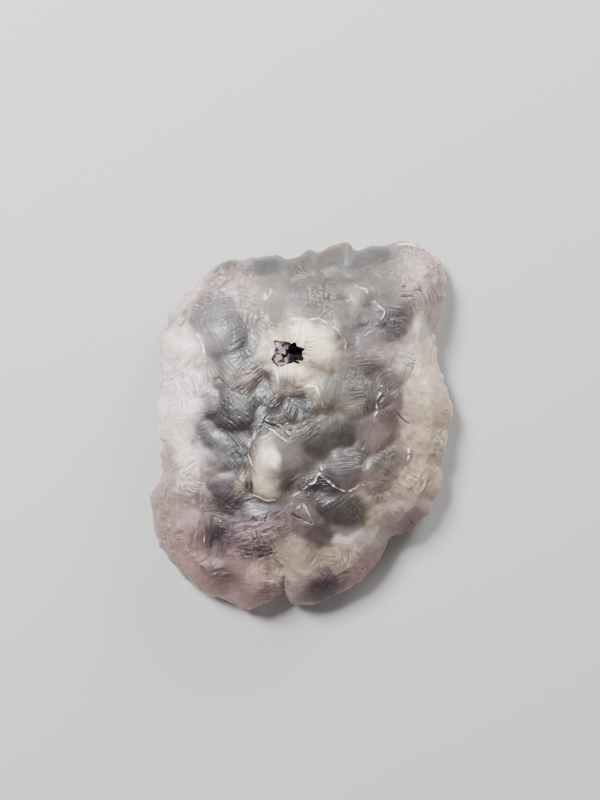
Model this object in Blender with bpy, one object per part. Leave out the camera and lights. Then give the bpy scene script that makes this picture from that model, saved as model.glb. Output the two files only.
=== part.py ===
"""A bicolor fluorite specimen: a hand-sized plate of intergrown fluorite crystals with a small vug.

The plate lies on the flat where it broke from its rock, with its crystal face up. It is one piece of
fluorite, and a thin crust of dark violet fluorite lines the vug.
"""

import math
from collections import namedtuple

import bmesh
import bpy
import numpy as np
from mathutils import Euler, Vector, noise

MM = 0.001

# The plate's outline, in millimetres from the middle of its box, going round from +X towards +Y.
# The points are the corners and notches between the crystals of the rim.
OUTLINE = [
    (30.6, 3.0), (30.0, 5.8), (29.0, 8.6), (27.4, 13.0), (27.2, 15.8), (26.8, 18.8), (28.2, 22.4),
    (28.8, 25.0), (29.3, 29.4), (28.8, 31.8), (27.6, 33.8), (25.6, 35.4), (23.8, 36.4), (21.9, 37.2),
    (19.4, 37.3), (17.8, 36.4), (15.0, 36.4), (13.2, 36.0), (11.5, 35.4), (10.4, 35.7), (9.6, 36.9),
    (8.4, 37.0), (5.6, 36.0), (3.4, 35.0), (1.2, 35.4), (-0.8, 34.2), (-2.8, 33.6), (-5.0, 34.5),
    (-8.0, 33.9), (-9.8, 34.0), (-12.4, 33.4), (-14.6, 33.6), (-15.8, 33.0), (-17.2, 32.2),
    (-20.0, 30.0), (-22.6, 27.6), (-24.6, 25.0), (-25.4, 23.8), (-26.6, 22.8), (-27.1, 19.8),
    (-28.2, 19.3), (-28.6, 18.4), (-28.4, 15.4), (-28.1, 14.0), (-28.4, 12.2), (-28.2, 9.2),
    (-28.3, 7.6), (-28.2, 6.2), (-28.8, 5.0), (-29.2, 2.0), (-28.6, 0.4), (-28.6, -2.6),
    (-28.0, -3.2), (-28.4, -5.0), (-28.0, -9.4), (-28.8, -11.6), (-30.0, -13.4), (-30.6, -14.4),
    (-30.1, -17.2), (-29.5, -21.0), (-28.6, -24.0), (-26.8, -26.6), (-24.0, -29.8), (-21.8, -32.0),
    (-19.6, -33.8), (-17.6, -34.6), (-15.4, -34.8), (-13.2, -36.3), (-10.4, -37.3), (-9.2, -36.8),
    (-7.2, -35.8), (-5.4, -34.6), (-4.2, -34.0), (-3.5, -32.9), (-3.1, -34.3), (-2.2, -35.6),
    (-0.6, -36.2), (3.4, -35.7), (5.8, -34.5), (8.2, -33.3), (11.8, -31.4), (13.4, -29.6),
    (15.8, -26.8), (17.6, -23.4), (18.6, -22.2), (20.4, -21.9), (22.4, -21.5), (23.6, -19.6),
    (25.8, -17.8), (26.2, -16.2), (26.6, -15.1), (27.4, -14.4), (28.2, -12.0), (28.4, -9.4),
    (28.2, -8.7), (27.7, -8.3), (28.2, -7.6), (29.2, -5.4), (29.4, -3.0), (29.4, -0.6), (30.2, 1.2),
]

# Heights of the plate above the surface that it lies on, in millimetres
RIM_HEIGHT = 3.6
RIM_WANDER = 1.0
CROWN = 10.4
CROWN_FALL = 0.72
UNDERSIDE_TURN = 0.17
UNDERSIDE_DIP = 0.9
UNDERSIDE_BULGE = 0.5
FADE_AT_RIM = 0.14
FACE_ROUGHNESS = 0.45
BREAK_START = 0.10
BREAK_SLOPE = 6.0
BREAK_DEPTH = 2.4
BREAK_ROUGHNESS = 0.3

# How wide the lumps are that wander over the rim, the faces and the broken underside
RIM_LUMPS = 9
FACE_LUMPS = 2.1
BREAK_LUMPS = 11
BREAK_SMALL_LUMPS = 4.5
BREAK_SMALL_SHARE = 0.45
BREAK_GRAIN = 1.8
NOISE_LAYER = 17.3

# A crystal's dome: its middle, its half sizes along and across its turn in degrees, how far it rises
# above the plate, how much of the round dome its flat faces leave (1 leaves it round), and how deep
# the ledges are that cross it.
Crystal = namedtuple("Crystal", "x y along across turn rise rounding ledge", defaults=(0.0,))

RIM_CRYSTALS = [
    Crystal(-23.6, 15.0, 5.4, 4.6, 0, 3.4, 0.97),
    Crystal(-24.4, 21.8, 3.8, 3.4, 30, 2.4, 0.95, 0.3),
    Crystal(-18.0, 28.8, 4.2, 2.6, 40, 2.2, 0.93),
    Crystal(-14.6, 31.2, 2.0, 2.0, 0, 1.0, 0.86),
    Crystal(-11.0, 31.8, 2.8, 2.6, 0, 2.2, 0.93),
    Crystal(-6.2, 31.2, 4.1, 3.3, -8, 2.8, 0.91),
    Crystal(0.6, 31.0, 3.5, 3.8, 0, 2.3, 0.92),
    Crystal(7.2, 34.4, 3.4, 2.5, 12, 2.4, 0.90),
    Crystal(15.6, 34.6, 3.0, 1.9, 5, 2.0, 0.92),
    Crystal(20.6, 34.4, 3.2, 2.6, 0, 2.8, 0.91),
    Crystal(25.0, 31.2, 4.0, 4.4, 40, 3.8, 0.94, 0.4),
    Crystal(22.4, 26.2, 4.8, 3.6, 0, 3.4, 0.92, 0.4),
    Crystal(25.2, 21.8, 3.3, 3.2, 50, 2.6, 0.92),
    Crystal(23.0, 14.8, 4.6, 5.2, 0, 3.0, 0.97),
    Crystal(24.8, 5.0, 5.4, 5.2, 0, 3.2, 0.96),
    Crystal(24.4, -2.8, 5.2, 4.2, 0, 3.0, 0.94),
    Crystal(23.0, -10.6, 5.4, 4.3, -12, 3.2, 0.95),
    Crystal(23.8, -16.4, 2.9, 3.0, 0, 2.2, 0.90),
    Crystal(21.6, -19.2, 2.0, 2.3, 20, 2.2, 0.84),
    Crystal(18.4, -17.2, 3.5, 3.6, 0, 2.2, 0.88),
    Crystal(18.6, -21.0, 2.6, 1.7, 0, 1.4, 0.90),
    Crystal(12.8, -26.2, 2.9, 4.2, -28, 2.4, 0.92),
    Crystal(9.4, -30.0, 3.1, 2.7, 30, 2.2, 0.93),
    Crystal(4.6, -31.6, 3.8, 3.5, 0, 2.8, 0.94),
    Crystal(-0.6, -31.4, 3.9, 4.4, 0, 3.0, 0.94),
    Crystal(-9.6, -32.0, 5.6, 4.5, -8, 3.2, 0.96),
    Crystal(-17.0, -31.6, 3.8, 2.8, -25, 2.2, 0.94),
    Crystal(-22.4, -27.0, 4.8, 4.1, -45, 2.8, 0.95),
    Crystal(-25.2, -20.2, 4.9, 5.0, 4, 2.8, 0.92, 0.3),
    Crystal(-24.8, -13.0, 5.3, 3.6, 0, 2.6, 0.95),
    Crystal(-23.4, -5.6, 5.5, 4.7, 0, 3.0, 0.97),
    Crystal(-23.8, 2.2, 5.7, 3.9, 0, 3.4, 0.97),
    Crystal(-23.8, 8.2, 5.2, 3.8, 0, 3.0, 0.97),
]

INNER_CRYSTALS = [
    Crystal(-16.2, 19.2, 5.2, 5.2, 0, 3.6, 0.96),
    Crystal(-19.2, 25.2, 3.8, 3.0, -15, 2.4, 0.87),
    Crystal(-13.2, 26.2, 3.0, 3.5, 0, 2.4, 0.88),
    Crystal(-7.4, 26.2, 2.9, 2.7, 20, 2.2, 0.84),
    Crystal(-10.4, 22.4, 2.3, 3.3, 0, 2.0, 0.90),
    Crystal(-5.8, 22.0, 3.3, 2.9, 0, 2.6, 0.86),
    Crystal(-1.8, 24.6, 2.5, 3.1, 25, 2.9, 0.88),
    Crystal(3.2, 25.8, 2.8, 2.6, 0, 2.2, 0.90),
    Crystal(7.0, 26.2, 2.6, 2.6, 0, 3.0, 0.84),
    Crystal(11.4, 26.2, 2.8, 3.0, 20, 3.2, 0.86),
    Crystal(5.6, 31.2, 2.3, 2.1, 10, 2.0, 0.86),
    Crystal(9.4, 31.6, 2.2, 2.3, 0, 2.2, 0.90),
    Crystal(12.8, 31.2, 3.0, 3.0, 0, 2.2, 0.92),
    Crystal(15.8, 31.8, 2.2, 2.8, 25, 2.6, 0.92),
    Crystal(16.8, 27.4, 2.6, 3.5, 15, 2.4, 0.90),
    Crystal(17.8, 21.6, 4.0, 2.7, -35, 2.6, 0.88),
    Crystal(18.6, 17.6, 2.8, 3.0, 0, 2.2, 0.90),
    Crystal(14.8, 20.4, 2.3, 2.3, 0, 3.2, 0.88),
    Crystal(14.2, 14.4, 3.5, 4.4, 0, 3.4, 0.90),
    Crystal(10.6, 21.4, 3.2, 2.8, 0, 2.4, 0.90),
    Crystal(8.8, 10.8, 2.8, 2.6, -20, 2.4, 0.88),
    Crystal(16.6, 5.8, 2.8, 4.2, 0, 3.0, 0.84),
    Crystal(10.0, 5.6, 4.0, 4.0, 0, 3.6, 0.94),
    Crystal(5.4, 7.0, 2.7, 3.4, 0, 2.8, 0.90),
    Crystal(2.6, 6.4, 1.5, 2.4, 18, 3.4, 0.84),
    Crystal(1.8, -1.4, 3.0, 3.0, 0, 3.2, 0.93),
    Crystal(7.0, -0.8, 3.6, 3.1, 0, 2.8, 0.94),
    Crystal(14.0, -1.2, 4.0, 3.2, 65, 3.0, 0.90, 0.4),
    Crystal(8.4, -8.2, 3.9, 4.1, 10, 4.4, 0.97),
    Crystal(14.6, -8.6, 3.1, 3.8, 0, 3.8, 0.97),
    Crystal(18.6, -7.0, 2.3, 2.8, 0, 2.6, 0.86),
    Crystal(13.8, -17.2, 2.4, 3.0, -10, 3.0, 0.90),
    Crystal(8.2, -16.8, 4.2, 3.9, 0, 3.4, 0.92),
    Crystal(-0.2, -15.4, 2.4, 2.2, 15, 2.4, 0.80),
    Crystal(-19.0, -7.4, 3.1, 4.0, -70, 2.4, 0.88, 0.4),
    Crystal(-11.8, 3.6, 4.2, 3.8, 0, 3.3, 0.97),
    Crystal(-13.8, -4.2, 4.0, 4.0, 0, 2.0, 0.88),
    Crystal(-17.8, 4.0, 2.2, 3.2, -15, 2.6, 0.84),
    Crystal(-18.4, -1.8, 2.6, 2.6, 0, 2.0, 0.88),
    Crystal(-7.0, 1.2, 1.4, 2.8, -28, 3.6, 0.86),
    Crystal(-5.4, -7.0, 5.0, 6.6, 8, 5.2, 0.96),
    Crystal(-11.2, -9.2, 1.4, 2.7, -22, 3.4, 0.84),
    Crystal(-0.8, 2.4, 2.5, 2.7, 0, 3.2, 0.84),
    Crystal(-5.2, 5.2, 2.1, 2.1, 0, 2.6, 0.92),
    Crystal(-14.0, -12.2, 3.7, 4.0, 0, 2.6, 0.90),
    Crystal(-7.4, -19.6, 6.6, 5.6, 12, 4.9, 0.92, 0.6),
    Crystal(-16.6, -19.8, 3.0, 4.4, 0, 0.9, 0.78),
    Crystal(-20.4, -20.2, 2.2, 4.2, 0, 2.6, 0.88),
    Crystal(-15.0, -28.2, 4.2, 3.6, 20, 2.8, 0.92),
    Crystal(7.6, -25.0, 3.4, 3.7, 0, 3.2, 0.86),
    Crystal(13.4, -21.8, 2.9, 2.4, 0, 2.2, 0.82),
    Crystal(-1.0, -24.2, 4.9, 3.5, 0, 3.0, 0.95),
    Crystal(3.2, -20.8, 3.2, 3.0, 0, 2.4, 0.86),
    Crystal(-11.4, 11.0, 4.3, 3.6, 0, 3.0, 0.92),
    Crystal(-13.6, 14.2, 3.0, 2.2, -30, 1.8, 0.84),
]

# The cream rosette that rings the vug's mouth
ROSETTE = [
    Crystal(-4.6, 18.0, 3.0, 2.5, -15, 3.8, 0.90),
    Crystal(-7.2, 14.2, 2.3, 2.5, 0, 3.4, 0.90),
    Crystal(-2.4, 10.2, 3.8, 2.6, -12, 3.8, 0.88),
    Crystal(2.4, 16.8, 4.9, 5.2, 0, 5.0, 0.94),
    Crystal(4.9, 13.2, 2.6, 2.7, 0, 4.4, 0.88),
    Crystal(-4.6, 7.8, 1.4, 2.4, 10, 3.2, 0.86),
    Crystal(3.2, 21.2, 3.4, 2.1, -14, 3.4, 0.86),
    Crystal(7.6, 14.8, 1.9, 1.2, 20, 3.2, 0.84),
]

# Small crystals fill what the larger ones leave, on a jittered grid
FILL_STEP = 3.0
FILL_HALF = (1.5, 2.3)
FILL_RISE = (0.9, 1.9)
FILL_ROUND = (0.78, 0.92)
FILL_JITTER = 0.45
FILL_SEED = 41

# Each dome is cut by flat faces that lean outwards: how many, how far each turns from an even
# spacing, how far out they touch the dome, and how much closer they come than its flat top
FACES = 6
FACE_TURN = 0.25
FACE_REACH = (0.40, 0.70)
FACE_LEVEL = (-0.10, 0.0)
LEDGE_PITCH = 2.1

# The vug: its mouth's middle in plan, its half sizes, how deep it goes, how it widens below, and the
# folds of its wall
VUG_AT = Vector((-2.5, 14.2))
VUG_HALF = (2.8, 2.15)
VUG_TOP = 18.6
VUG_FLOOR = 5.2
VUG_WIDEN = 0.25
VUG_WIDEST = 1.3
VUG_RAGGED = 0.30
VUG_FOLDS = 2.2
VUG_FOLD_HEIGHT = 3.5
VUG_CUT_ABOVE = 3
VUG_SHOULDER = 0.45
VUG_TURN = math.radians(12)
CRUST_GAP = 0.35
CRUST_THICK = 0.85
CRUST_TOP = 13.6
CRUST_TILT = math.radians(14)
CRUST_CUBES = 15
CRUST_SPACING = 1.7
CRUST_CUBE_SIZE = (1.4, 2.3)
CRUST_SEED = 5

# The stone's colours, as a shader has them, and how much light passes through the plate
MILKY_GREY = (0.52, 0.51, 0.51)
VIOLET = (0.05, 0.03, 0.08)
CLEARNESS = 0.7
FLUORITE_IOR = 1.434

SPHERE_STEPS = 7
VUG_STEPS = 3
KEEP_FACES = 0.092
CUTTER_HALF = 80.0


def wander(points, cell, seed):
    """Smooth noise at each point, about -0.7 to 0.7, whose lumps are about a cell across."""
    shift = Vector((0, 0, seed * NOISE_LAYER))
    return np.array([noise.noise(Vector(point) / cell + shift) for point in points])


def rim_radius(angle):
    """How far the outline lies from the middle at each angle."""
    corners = np.array(OUTLINE)
    angles = np.arctan2(corners[:, 1], corners[:, 0])
    order = np.argsort(angles)
    return np.interp(angle, angles[order], np.hypot(*corners[order].T), period=2 * math.pi)


def dome(x, y, crystal):
    """The crystal's height over its plan: a round dome, cut by flat faces that lean outwards."""
    turn = math.radians(crystal.turn)
    dx = x - crystal.x
    dy = y - crystal.y
    u = (dx * math.cos(turn) + dy * math.sin(turn)) / crystal.along
    v = (dy * math.cos(turn) - dx * math.sin(turn)) / crystal.across
    height = np.sqrt(np.clip(1 - u * u - v * v, 0, None))
    pick = np.random.default_rng(int(abs(crystal.x * 571 + crystal.y * 293) * 10))
    start = pick.uniform(0, math.tau)
    height = np.minimum(height, crystal.rounding)
    for n in range(FACES):
        way = start + math.tau * n / FACES + pick.uniform(-FACE_TURN, FACE_TURN)
        reach = pick.uniform(*FACE_REACH)
        level = crystal.rounding + pick.uniform(*FACE_LEVEL)
        face = level * (1 - reach * (u * math.cos(way) + v * math.sin(way))) / math.sqrt(1 - reach**2)
        height = np.minimum(height, face)
    ledges = crystal.ledge * np.mod(v * crystal.across / LEDGE_PITCH, 1)
    return crystal.rise * height - ledges * (height > 0)


def fill_crystals():
    """Small crystals over the whole plate, on a jittered grid."""
    pick = np.random.default_rng(FILL_SEED)
    reach = np.abs(OUTLINE).max(axis=0)
    found = []
    for x in np.arange(-reach[0], reach[0], FILL_STEP):
        for y in np.arange(-reach[1], reach[1], FILL_STEP):
            at = np.array((x, y)) + pick.uniform(-FILL_JITTER, FILL_JITTER, 2) * FILL_STEP
            along, across = pick.uniform(*FILL_HALF, 2)
            rise, rounding = pick.uniform(*FILL_RISE), pick.uniform(*FILL_ROUND)
            found.append(Crystal(*at, along, across, pick.uniform(0, 180), rise, rounding))
    return found


def crystal_relief(x, y, crystals):
    """The tallest crystal's height at each place of the plan."""
    relief = np.zeros_like(x)
    for crystal in crystals:
        relief = np.maximum(relief, dome(x, y, crystal))
    return relief


def plate_heights(x, y, out, crystals):
    """The plate's upper and lower surface, where out is 0 in the middle and 1 at the rim."""
    places = np.column_stack((x, y, np.zeros_like(x)))
    fade = np.sqrt(np.clip((1 - out) / FADE_AT_RIM, 0, 1))
    relief = crystal_relief(x, y, crystals) * fade
    rim = RIM_HEIGHT + RIM_WANDER * wander(places, RIM_LUMPS, 1)
    upper = rim + CROWN * np.clip(1 - out**2, 0, None) ** CROWN_FALL + relief
    upper += FACE_ROUGHNESS * wander(places, FACE_LUMPS, 2) * fade
    inward = np.clip((1 - out) / UNDERSIDE_TURN, 0, 1)
    drop = np.sqrt(np.clip(1 - (1 - inward) ** 2, 0, None))
    lower = rim - (rim + UNDERSIDE_DIP) * drop - UNDERSIDE_BULGE * relief * (1 - inward)
    lower += underside_breaks(places) * drop
    return upper, lower


def underside_breaks(places):
    """Shallow hollows where the plate tore from its rock."""
    rough = wander(places, BREAK_LUMPS, 3) + BREAK_SMALL_SHARE * wander(places, BREAK_SMALL_LUMPS, 4)
    hollows = np.clip((rough - BREAK_START) * BREAK_SLOPE, 0, BREAK_DEPTH)
    return hollows + BREAK_ROUGHNESS * wander(places, BREAK_GRAIN, 5)


def new_object(name, mesh, home, colour, roughness, clearness=0.0):
    """An object of the mesh in the collection, with a material of its own."""
    material = bpy.data.materials.new(name)
    material.use_nodes = True
    shader = material.node_tree.nodes["Principled BSDF"]
    shader.inputs["Base Color"].default_value = (*colour, 1)
    shader.inputs["Roughness"].default_value = roughness
    shader.inputs["Metallic"].default_value = 0
    shader.inputs["Transmission Weight"].default_value = clearness
    shader.inputs["IOR"].default_value = FLUORITE_IOR
    mesh.materials.append(material)
    made = bpy.data.objects.new(name, mesh)
    home.objects.link(made)
    return made


def sphere_mesh(name, steps):
    """An icosphere of radius 1 and its points, as a mesh and an array."""
    bpy.ops.mesh.primitive_ico_sphere_add(subdivisions=steps, radius=1)
    ball = bpy.context.object
    mesh = ball.data
    mesh.name = name
    bpy.data.objects.remove(ball)
    points = np.empty(len(mesh.vertices) * 3, np.float32)
    mesh.vertices.foreach_get("co", points)
    return mesh, points.reshape(-1, 3).astype(float)


def set_points(mesh, points_mm):
    mesh.vertices.foreach_set("co", (points_mm * MM).astype(np.float32).ravel())
    mesh.update()


def fluorite_plate(home):
    """The plate: a sphere stretched to the outline, with the crystals raised on it."""
    mesh, ball = sphere_mesh("fluorite", SPHERE_STEPS)
    angle = np.arctan2(ball[:, 1], ball[:, 0])
    out = np.clip(np.hypot(ball[:, 0], ball[:, 1]), 0, 1)
    radius = rim_radius(angle) * out
    x = radius * np.cos(angle)
    y = radius * np.sin(angle)
    upper, lower = plate_heights(x, y, out, RIM_CRYSTALS + INNER_CRYSTALS + ROSETTE + fill_crystals())
    z = np.where(ball[:, 2] > 0, upper, lower)
    set_points(mesh, np.column_stack((x, y, z)))
    return new_object("fluorite", mesh, home, MILKY_GREY, 0.35, CLEARNESS)


def vug_mesh(name, inset, top):
    """The vug's shape, narrow at the mouth and wide below, drawn in by inset on every side."""
    mesh, ball = sphere_mesh(name, VUG_STEPS)
    floor = VUG_FLOOR + inset
    z = floor + (top - floor) * (ball[:, 2] + 1) / 2
    angle = np.arctan2(ball[:, 1], ball[:, 0])
    depth = np.clip((VUG_TOP - z) / (VUG_TOP - VUG_FLOOR), 0, 1)
    swell = 1 + VUG_WIDEN * np.sin(math.pi * depth**VUG_WIDEST)
    ring = np.column_stack((VUG_FOLDS * np.cos(angle), VUG_FOLDS * np.sin(angle), z / VUG_FOLD_HEIGHT))
    ragged = 1 + VUG_RAGGED * wander(ring, 1, 6)
    wide = np.clip(np.hypot(ball[:, 0], ball[:, 1]), 1e-6, 1)
    # Square shoulders keep the mouth as wide as the neck below it
    share = wide**VUG_SHOULDER / wide
    u = (VUG_HALF[0] * swell * ragged - inset) * ball[:, 0] * share
    v = (VUG_HALF[1] * swell * ragged - inset) * ball[:, 1] * share
    x = VUG_AT.x + u * math.cos(VUG_TURN) - v * math.sin(VUG_TURN)
    y = VUG_AT.y + u * math.sin(VUG_TURN) + v * math.cos(VUG_TURN)
    set_points(mesh, np.column_stack((x, y, z)))
    return mesh


def helper(name, mesh, cutters):
    """A cutter: drawn as wire, and left out of the object."""
    made = bpy.data.objects.new(name, mesh)
    made.hide_render = True
    made.display_type = "WIRE"
    cutters.objects.link(made)
    return made


def boolean(target, tool, operation):
    modifier = target.modifiers.new(tool.name, "BOOLEAN")
    modifier.operation = operation
    modifier.object = tool
    modifier.solver = "EXACT"
    return modifier


def box_below(name, point, tilt, cutters):
    """A wide box whose top passes through the point, in millimetres, tilted about the Y axis."""
    mesh = bpy.data.meshes.new(name)
    shape = bmesh.new()
    bmesh.ops.create_cube(shape, size=CUTTER_HALF * 2 * MM)
    shape.to_mesh(mesh)
    shape.free()
    made = helper(name, mesh, cutters)
    up = Vector((math.sin(tilt), 0, math.cos(tilt)))
    made.location = (Vector(point) - up * CUTTER_HALF) * MM
    made.rotation_euler = (0, tilt, 0)
    return made


def crust_cubes(cutters):
    """Small cubes with their middles in the vug's lining, each turned its own way."""
    pick = np.random.default_rng(CRUST_SEED)
    wall = vug_mesh("cube_places", CRUST_GAP + CRUST_THICK, VUG_TOP)
    places = [v.co / MM for v in wall.vertices if v.co.z / MM < CRUST_TOP]
    bpy.data.meshes.remove(wall)
    chosen = []
    for index in pick.permutation(len(places)):
        if all((places[index] - other).length > CRUST_SPACING for other in chosen):
            chosen.append(places[index])
    cubes = []
    for n, at in enumerate(chosen[:CRUST_CUBES]):
        mesh = bpy.data.meshes.new(f"cube_{n:02d}")
        shape = bmesh.new()
        bmesh.ops.create_cube(shape, size=pick.uniform(*CRUST_CUBE_SIZE) * MM)
        shape.to_mesh(mesh)
        shape.free()
        cube = helper(f"cube_{n:02d}", mesh, cutters)
        cube.location = at * MM
        cube.rotation_euler = Euler(pick.uniform(0, math.pi, 3))
        cubes.append(cube)
    return cubes


def vug_crust(home, cutters):
    """The dark lining of the vug: a thin bowl with cubes on it, a little clear of the plate."""
    crust = new_object("vug_crust", vug_mesh("vug_crust", CRUST_GAP, VUG_TOP), home, VIOLET, 0.2)
    # The lining ends higher on the side that shows through the mouth
    boolean(crust, box_below("crust_top", (*VUG_AT, CRUST_TOP), CRUST_TILT, cutters), "INTERSECT")
    hollow = vug_mesh("crust_cavity", CRUST_GAP + CRUST_THICK, VUG_TOP + VUG_CUT_ABOVE)
    cavity = helper("crust_cavity", hollow, cutters)
    for cube in crust_cubes(cutters):
        boolean(cavity, cube, "DIFFERENCE")
    boolean(crust, cavity, "DIFFERENCE")
    return crust


def build():
    for old in list(bpy.data.objects):
        bpy.data.objects.remove(old)
    home = bpy.data.collections.new("bicolor_fluorite")
    cutters = bpy.data.collections.new("cutters")
    for collection in (home, cutters):
        bpy.context.scene.collection.children.link(collection)

    plate = fluorite_plate(home)
    thin_out = plate.modifiers.new("thin_out", "DECIMATE")
    thin_out.ratio = KEEP_FACES
    boolean(plate, helper("vug", vug_mesh("vug", 0, VUG_TOP + VUG_CUT_ABOVE), cutters), "DIFFERENCE")
    boolean(plate, box_below("rest_plane", (0, 0, 0), 0, cutters), "DIFFERENCE")
    vug_crust(home, cutters)


build()
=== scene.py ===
"""The looks of the bicolor fluorite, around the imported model: the etched plate, the dark crystals in
its vug, and the floor, light and camera. Lengths are in millimetres until a mesh is written.
"""

import math
from collections import namedtuple

import bmesh
import bpy
import numpy as np
from mathutils import Euler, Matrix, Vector, noise


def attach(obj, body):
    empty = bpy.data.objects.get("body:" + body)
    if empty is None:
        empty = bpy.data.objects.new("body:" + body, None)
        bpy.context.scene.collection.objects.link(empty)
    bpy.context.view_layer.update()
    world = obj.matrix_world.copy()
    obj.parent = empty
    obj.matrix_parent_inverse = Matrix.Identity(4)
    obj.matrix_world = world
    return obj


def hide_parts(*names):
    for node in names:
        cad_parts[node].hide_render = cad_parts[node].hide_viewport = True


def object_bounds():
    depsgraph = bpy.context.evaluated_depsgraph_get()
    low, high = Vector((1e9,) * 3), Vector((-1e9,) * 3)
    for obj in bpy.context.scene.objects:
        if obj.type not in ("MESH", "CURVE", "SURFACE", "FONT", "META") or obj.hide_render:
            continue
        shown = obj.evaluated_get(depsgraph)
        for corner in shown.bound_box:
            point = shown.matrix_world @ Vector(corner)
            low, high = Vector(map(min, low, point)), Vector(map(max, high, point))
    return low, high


MM = 0.001

# The plate's outline, from the middle of its box, going round from +X towards +Y, as the solid has it
OUTLINE = [
    (30.6, 3.0), (30.0, 5.8), (29.0, 8.6), (27.4, 13.0), (27.2, 15.8), (26.8, 18.8), (28.2, 22.4),
    (28.8, 25.0), (29.3, 29.4), (28.8, 31.8), (27.6, 33.8), (25.6, 35.4), (23.8, 36.4), (21.9, 37.2),
    (19.4, 37.3), (17.8, 36.4), (15.0, 36.4), (13.2, 36.0), (11.5, 35.4), (10.4, 35.7), (9.6, 36.9),
    (8.4, 37.0), (5.6, 36.0), (3.4, 35.0), (1.2, 35.4), (-0.8, 34.2), (-2.8, 33.6), (-5.0, 34.5),
    (-8.0, 33.9), (-9.8, 34.0), (-12.4, 33.4), (-14.6, 33.6), (-15.8, 33.0), (-17.2, 32.2),
    (-20.0, 30.0), (-22.6, 27.6), (-24.6, 25.0), (-25.4, 23.8), (-26.6, 22.8), (-27.1, 19.8),
    (-28.2, 19.3), (-28.6, 18.4), (-28.4, 15.4), (-28.1, 14.0), (-28.4, 12.2), (-28.2, 9.2),
    (-28.3, 7.6), (-28.2, 6.2), (-28.8, 5.0), (-29.2, 2.0), (-28.6, 0.4), (-28.6, -2.6),
    (-28.0, -3.2), (-28.4, -5.0), (-28.0, -9.4), (-28.8, -11.6), (-30.0, -13.4), (-30.6, -14.4),
    (-30.1, -17.2), (-29.5, -21.0), (-28.6, -24.0), (-26.8, -26.6), (-24.0, -29.8), (-21.8, -32.0),
    (-19.6, -33.8), (-17.6, -34.6), (-15.4, -34.8), (-13.2, -36.3), (-10.4, -37.3), (-9.2, -36.8),
    (-7.2, -35.8), (-5.4, -34.6), (-4.2, -34.0), (-3.5, -32.9), (-3.1, -34.3), (-2.2, -35.6),
    (-0.6, -36.2), (3.4, -35.7), (5.8, -34.5), (8.2, -33.3), (11.8, -31.4), (13.4, -29.6),
    (15.8, -26.8), (17.6, -23.4), (18.6, -22.2), (20.4, -21.9), (22.4, -21.5), (23.6, -19.6),
    (25.8, -17.8), (26.2, -16.2), (26.6, -15.1), (27.4, -14.4), (28.2, -12.0), (28.4, -9.4),
    (28.2, -8.7), (27.7, -8.3), (28.2, -7.6), (29.2, -5.4), (29.4, -3.0), (29.4, -0.6), (30.2, 1.2),
]

# The plate's form, as the solid has it
RIM_HEIGHT = 3.6
RIM_WANDER = 1.0
RIM_LUMPS = 9
CROWN = 10.4
CROWN_FALL = 0.72
UNDERSIDE_TURN = 0.17
UNDERSIDE_DIP = 0.9
UNDERSIDE_BULGE = 0.5
FADE_AT_RIM = 0.14
NOISE_LAYER = 17.3

# The break that it lies on: rough hollows, whose floors go down in flat steps, as fluorite parts
BREAK_LUMPS = 11
BREAK_SMALL_LUMPS = 4.5
BREAK_SMALL_SHARE = 0.45
BREAK_START = 0.10
BREAK_SLOPE = 6.0
BREAK_DEPTH = 2.4
BREAK_STEP = 0.6
BREAK_STEPPED = 0.65
BREAK_GRAIN = 1.8
BREAK_ROUGHNESS = 0.3

# A crystal's flat faces: how many, how far each is turned off its place, how steeply it leans, and
# how near the top it starts
FACES = 6
FACE_TURN = 0.25
FACE_REACH = (0.40, 0.70)
FACE_LEVEL = (-0.10, 0.0)

# A crystal: its middle, its half sizes along and across its turn in degrees, how far it rises, how
# much of its dome the flat faces leave, its tone, and how coarse its etched steps are
Crystal = namedtuple("Crystal", "x y along across turn rise rounding tone step", defaults=(1.0,))

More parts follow.
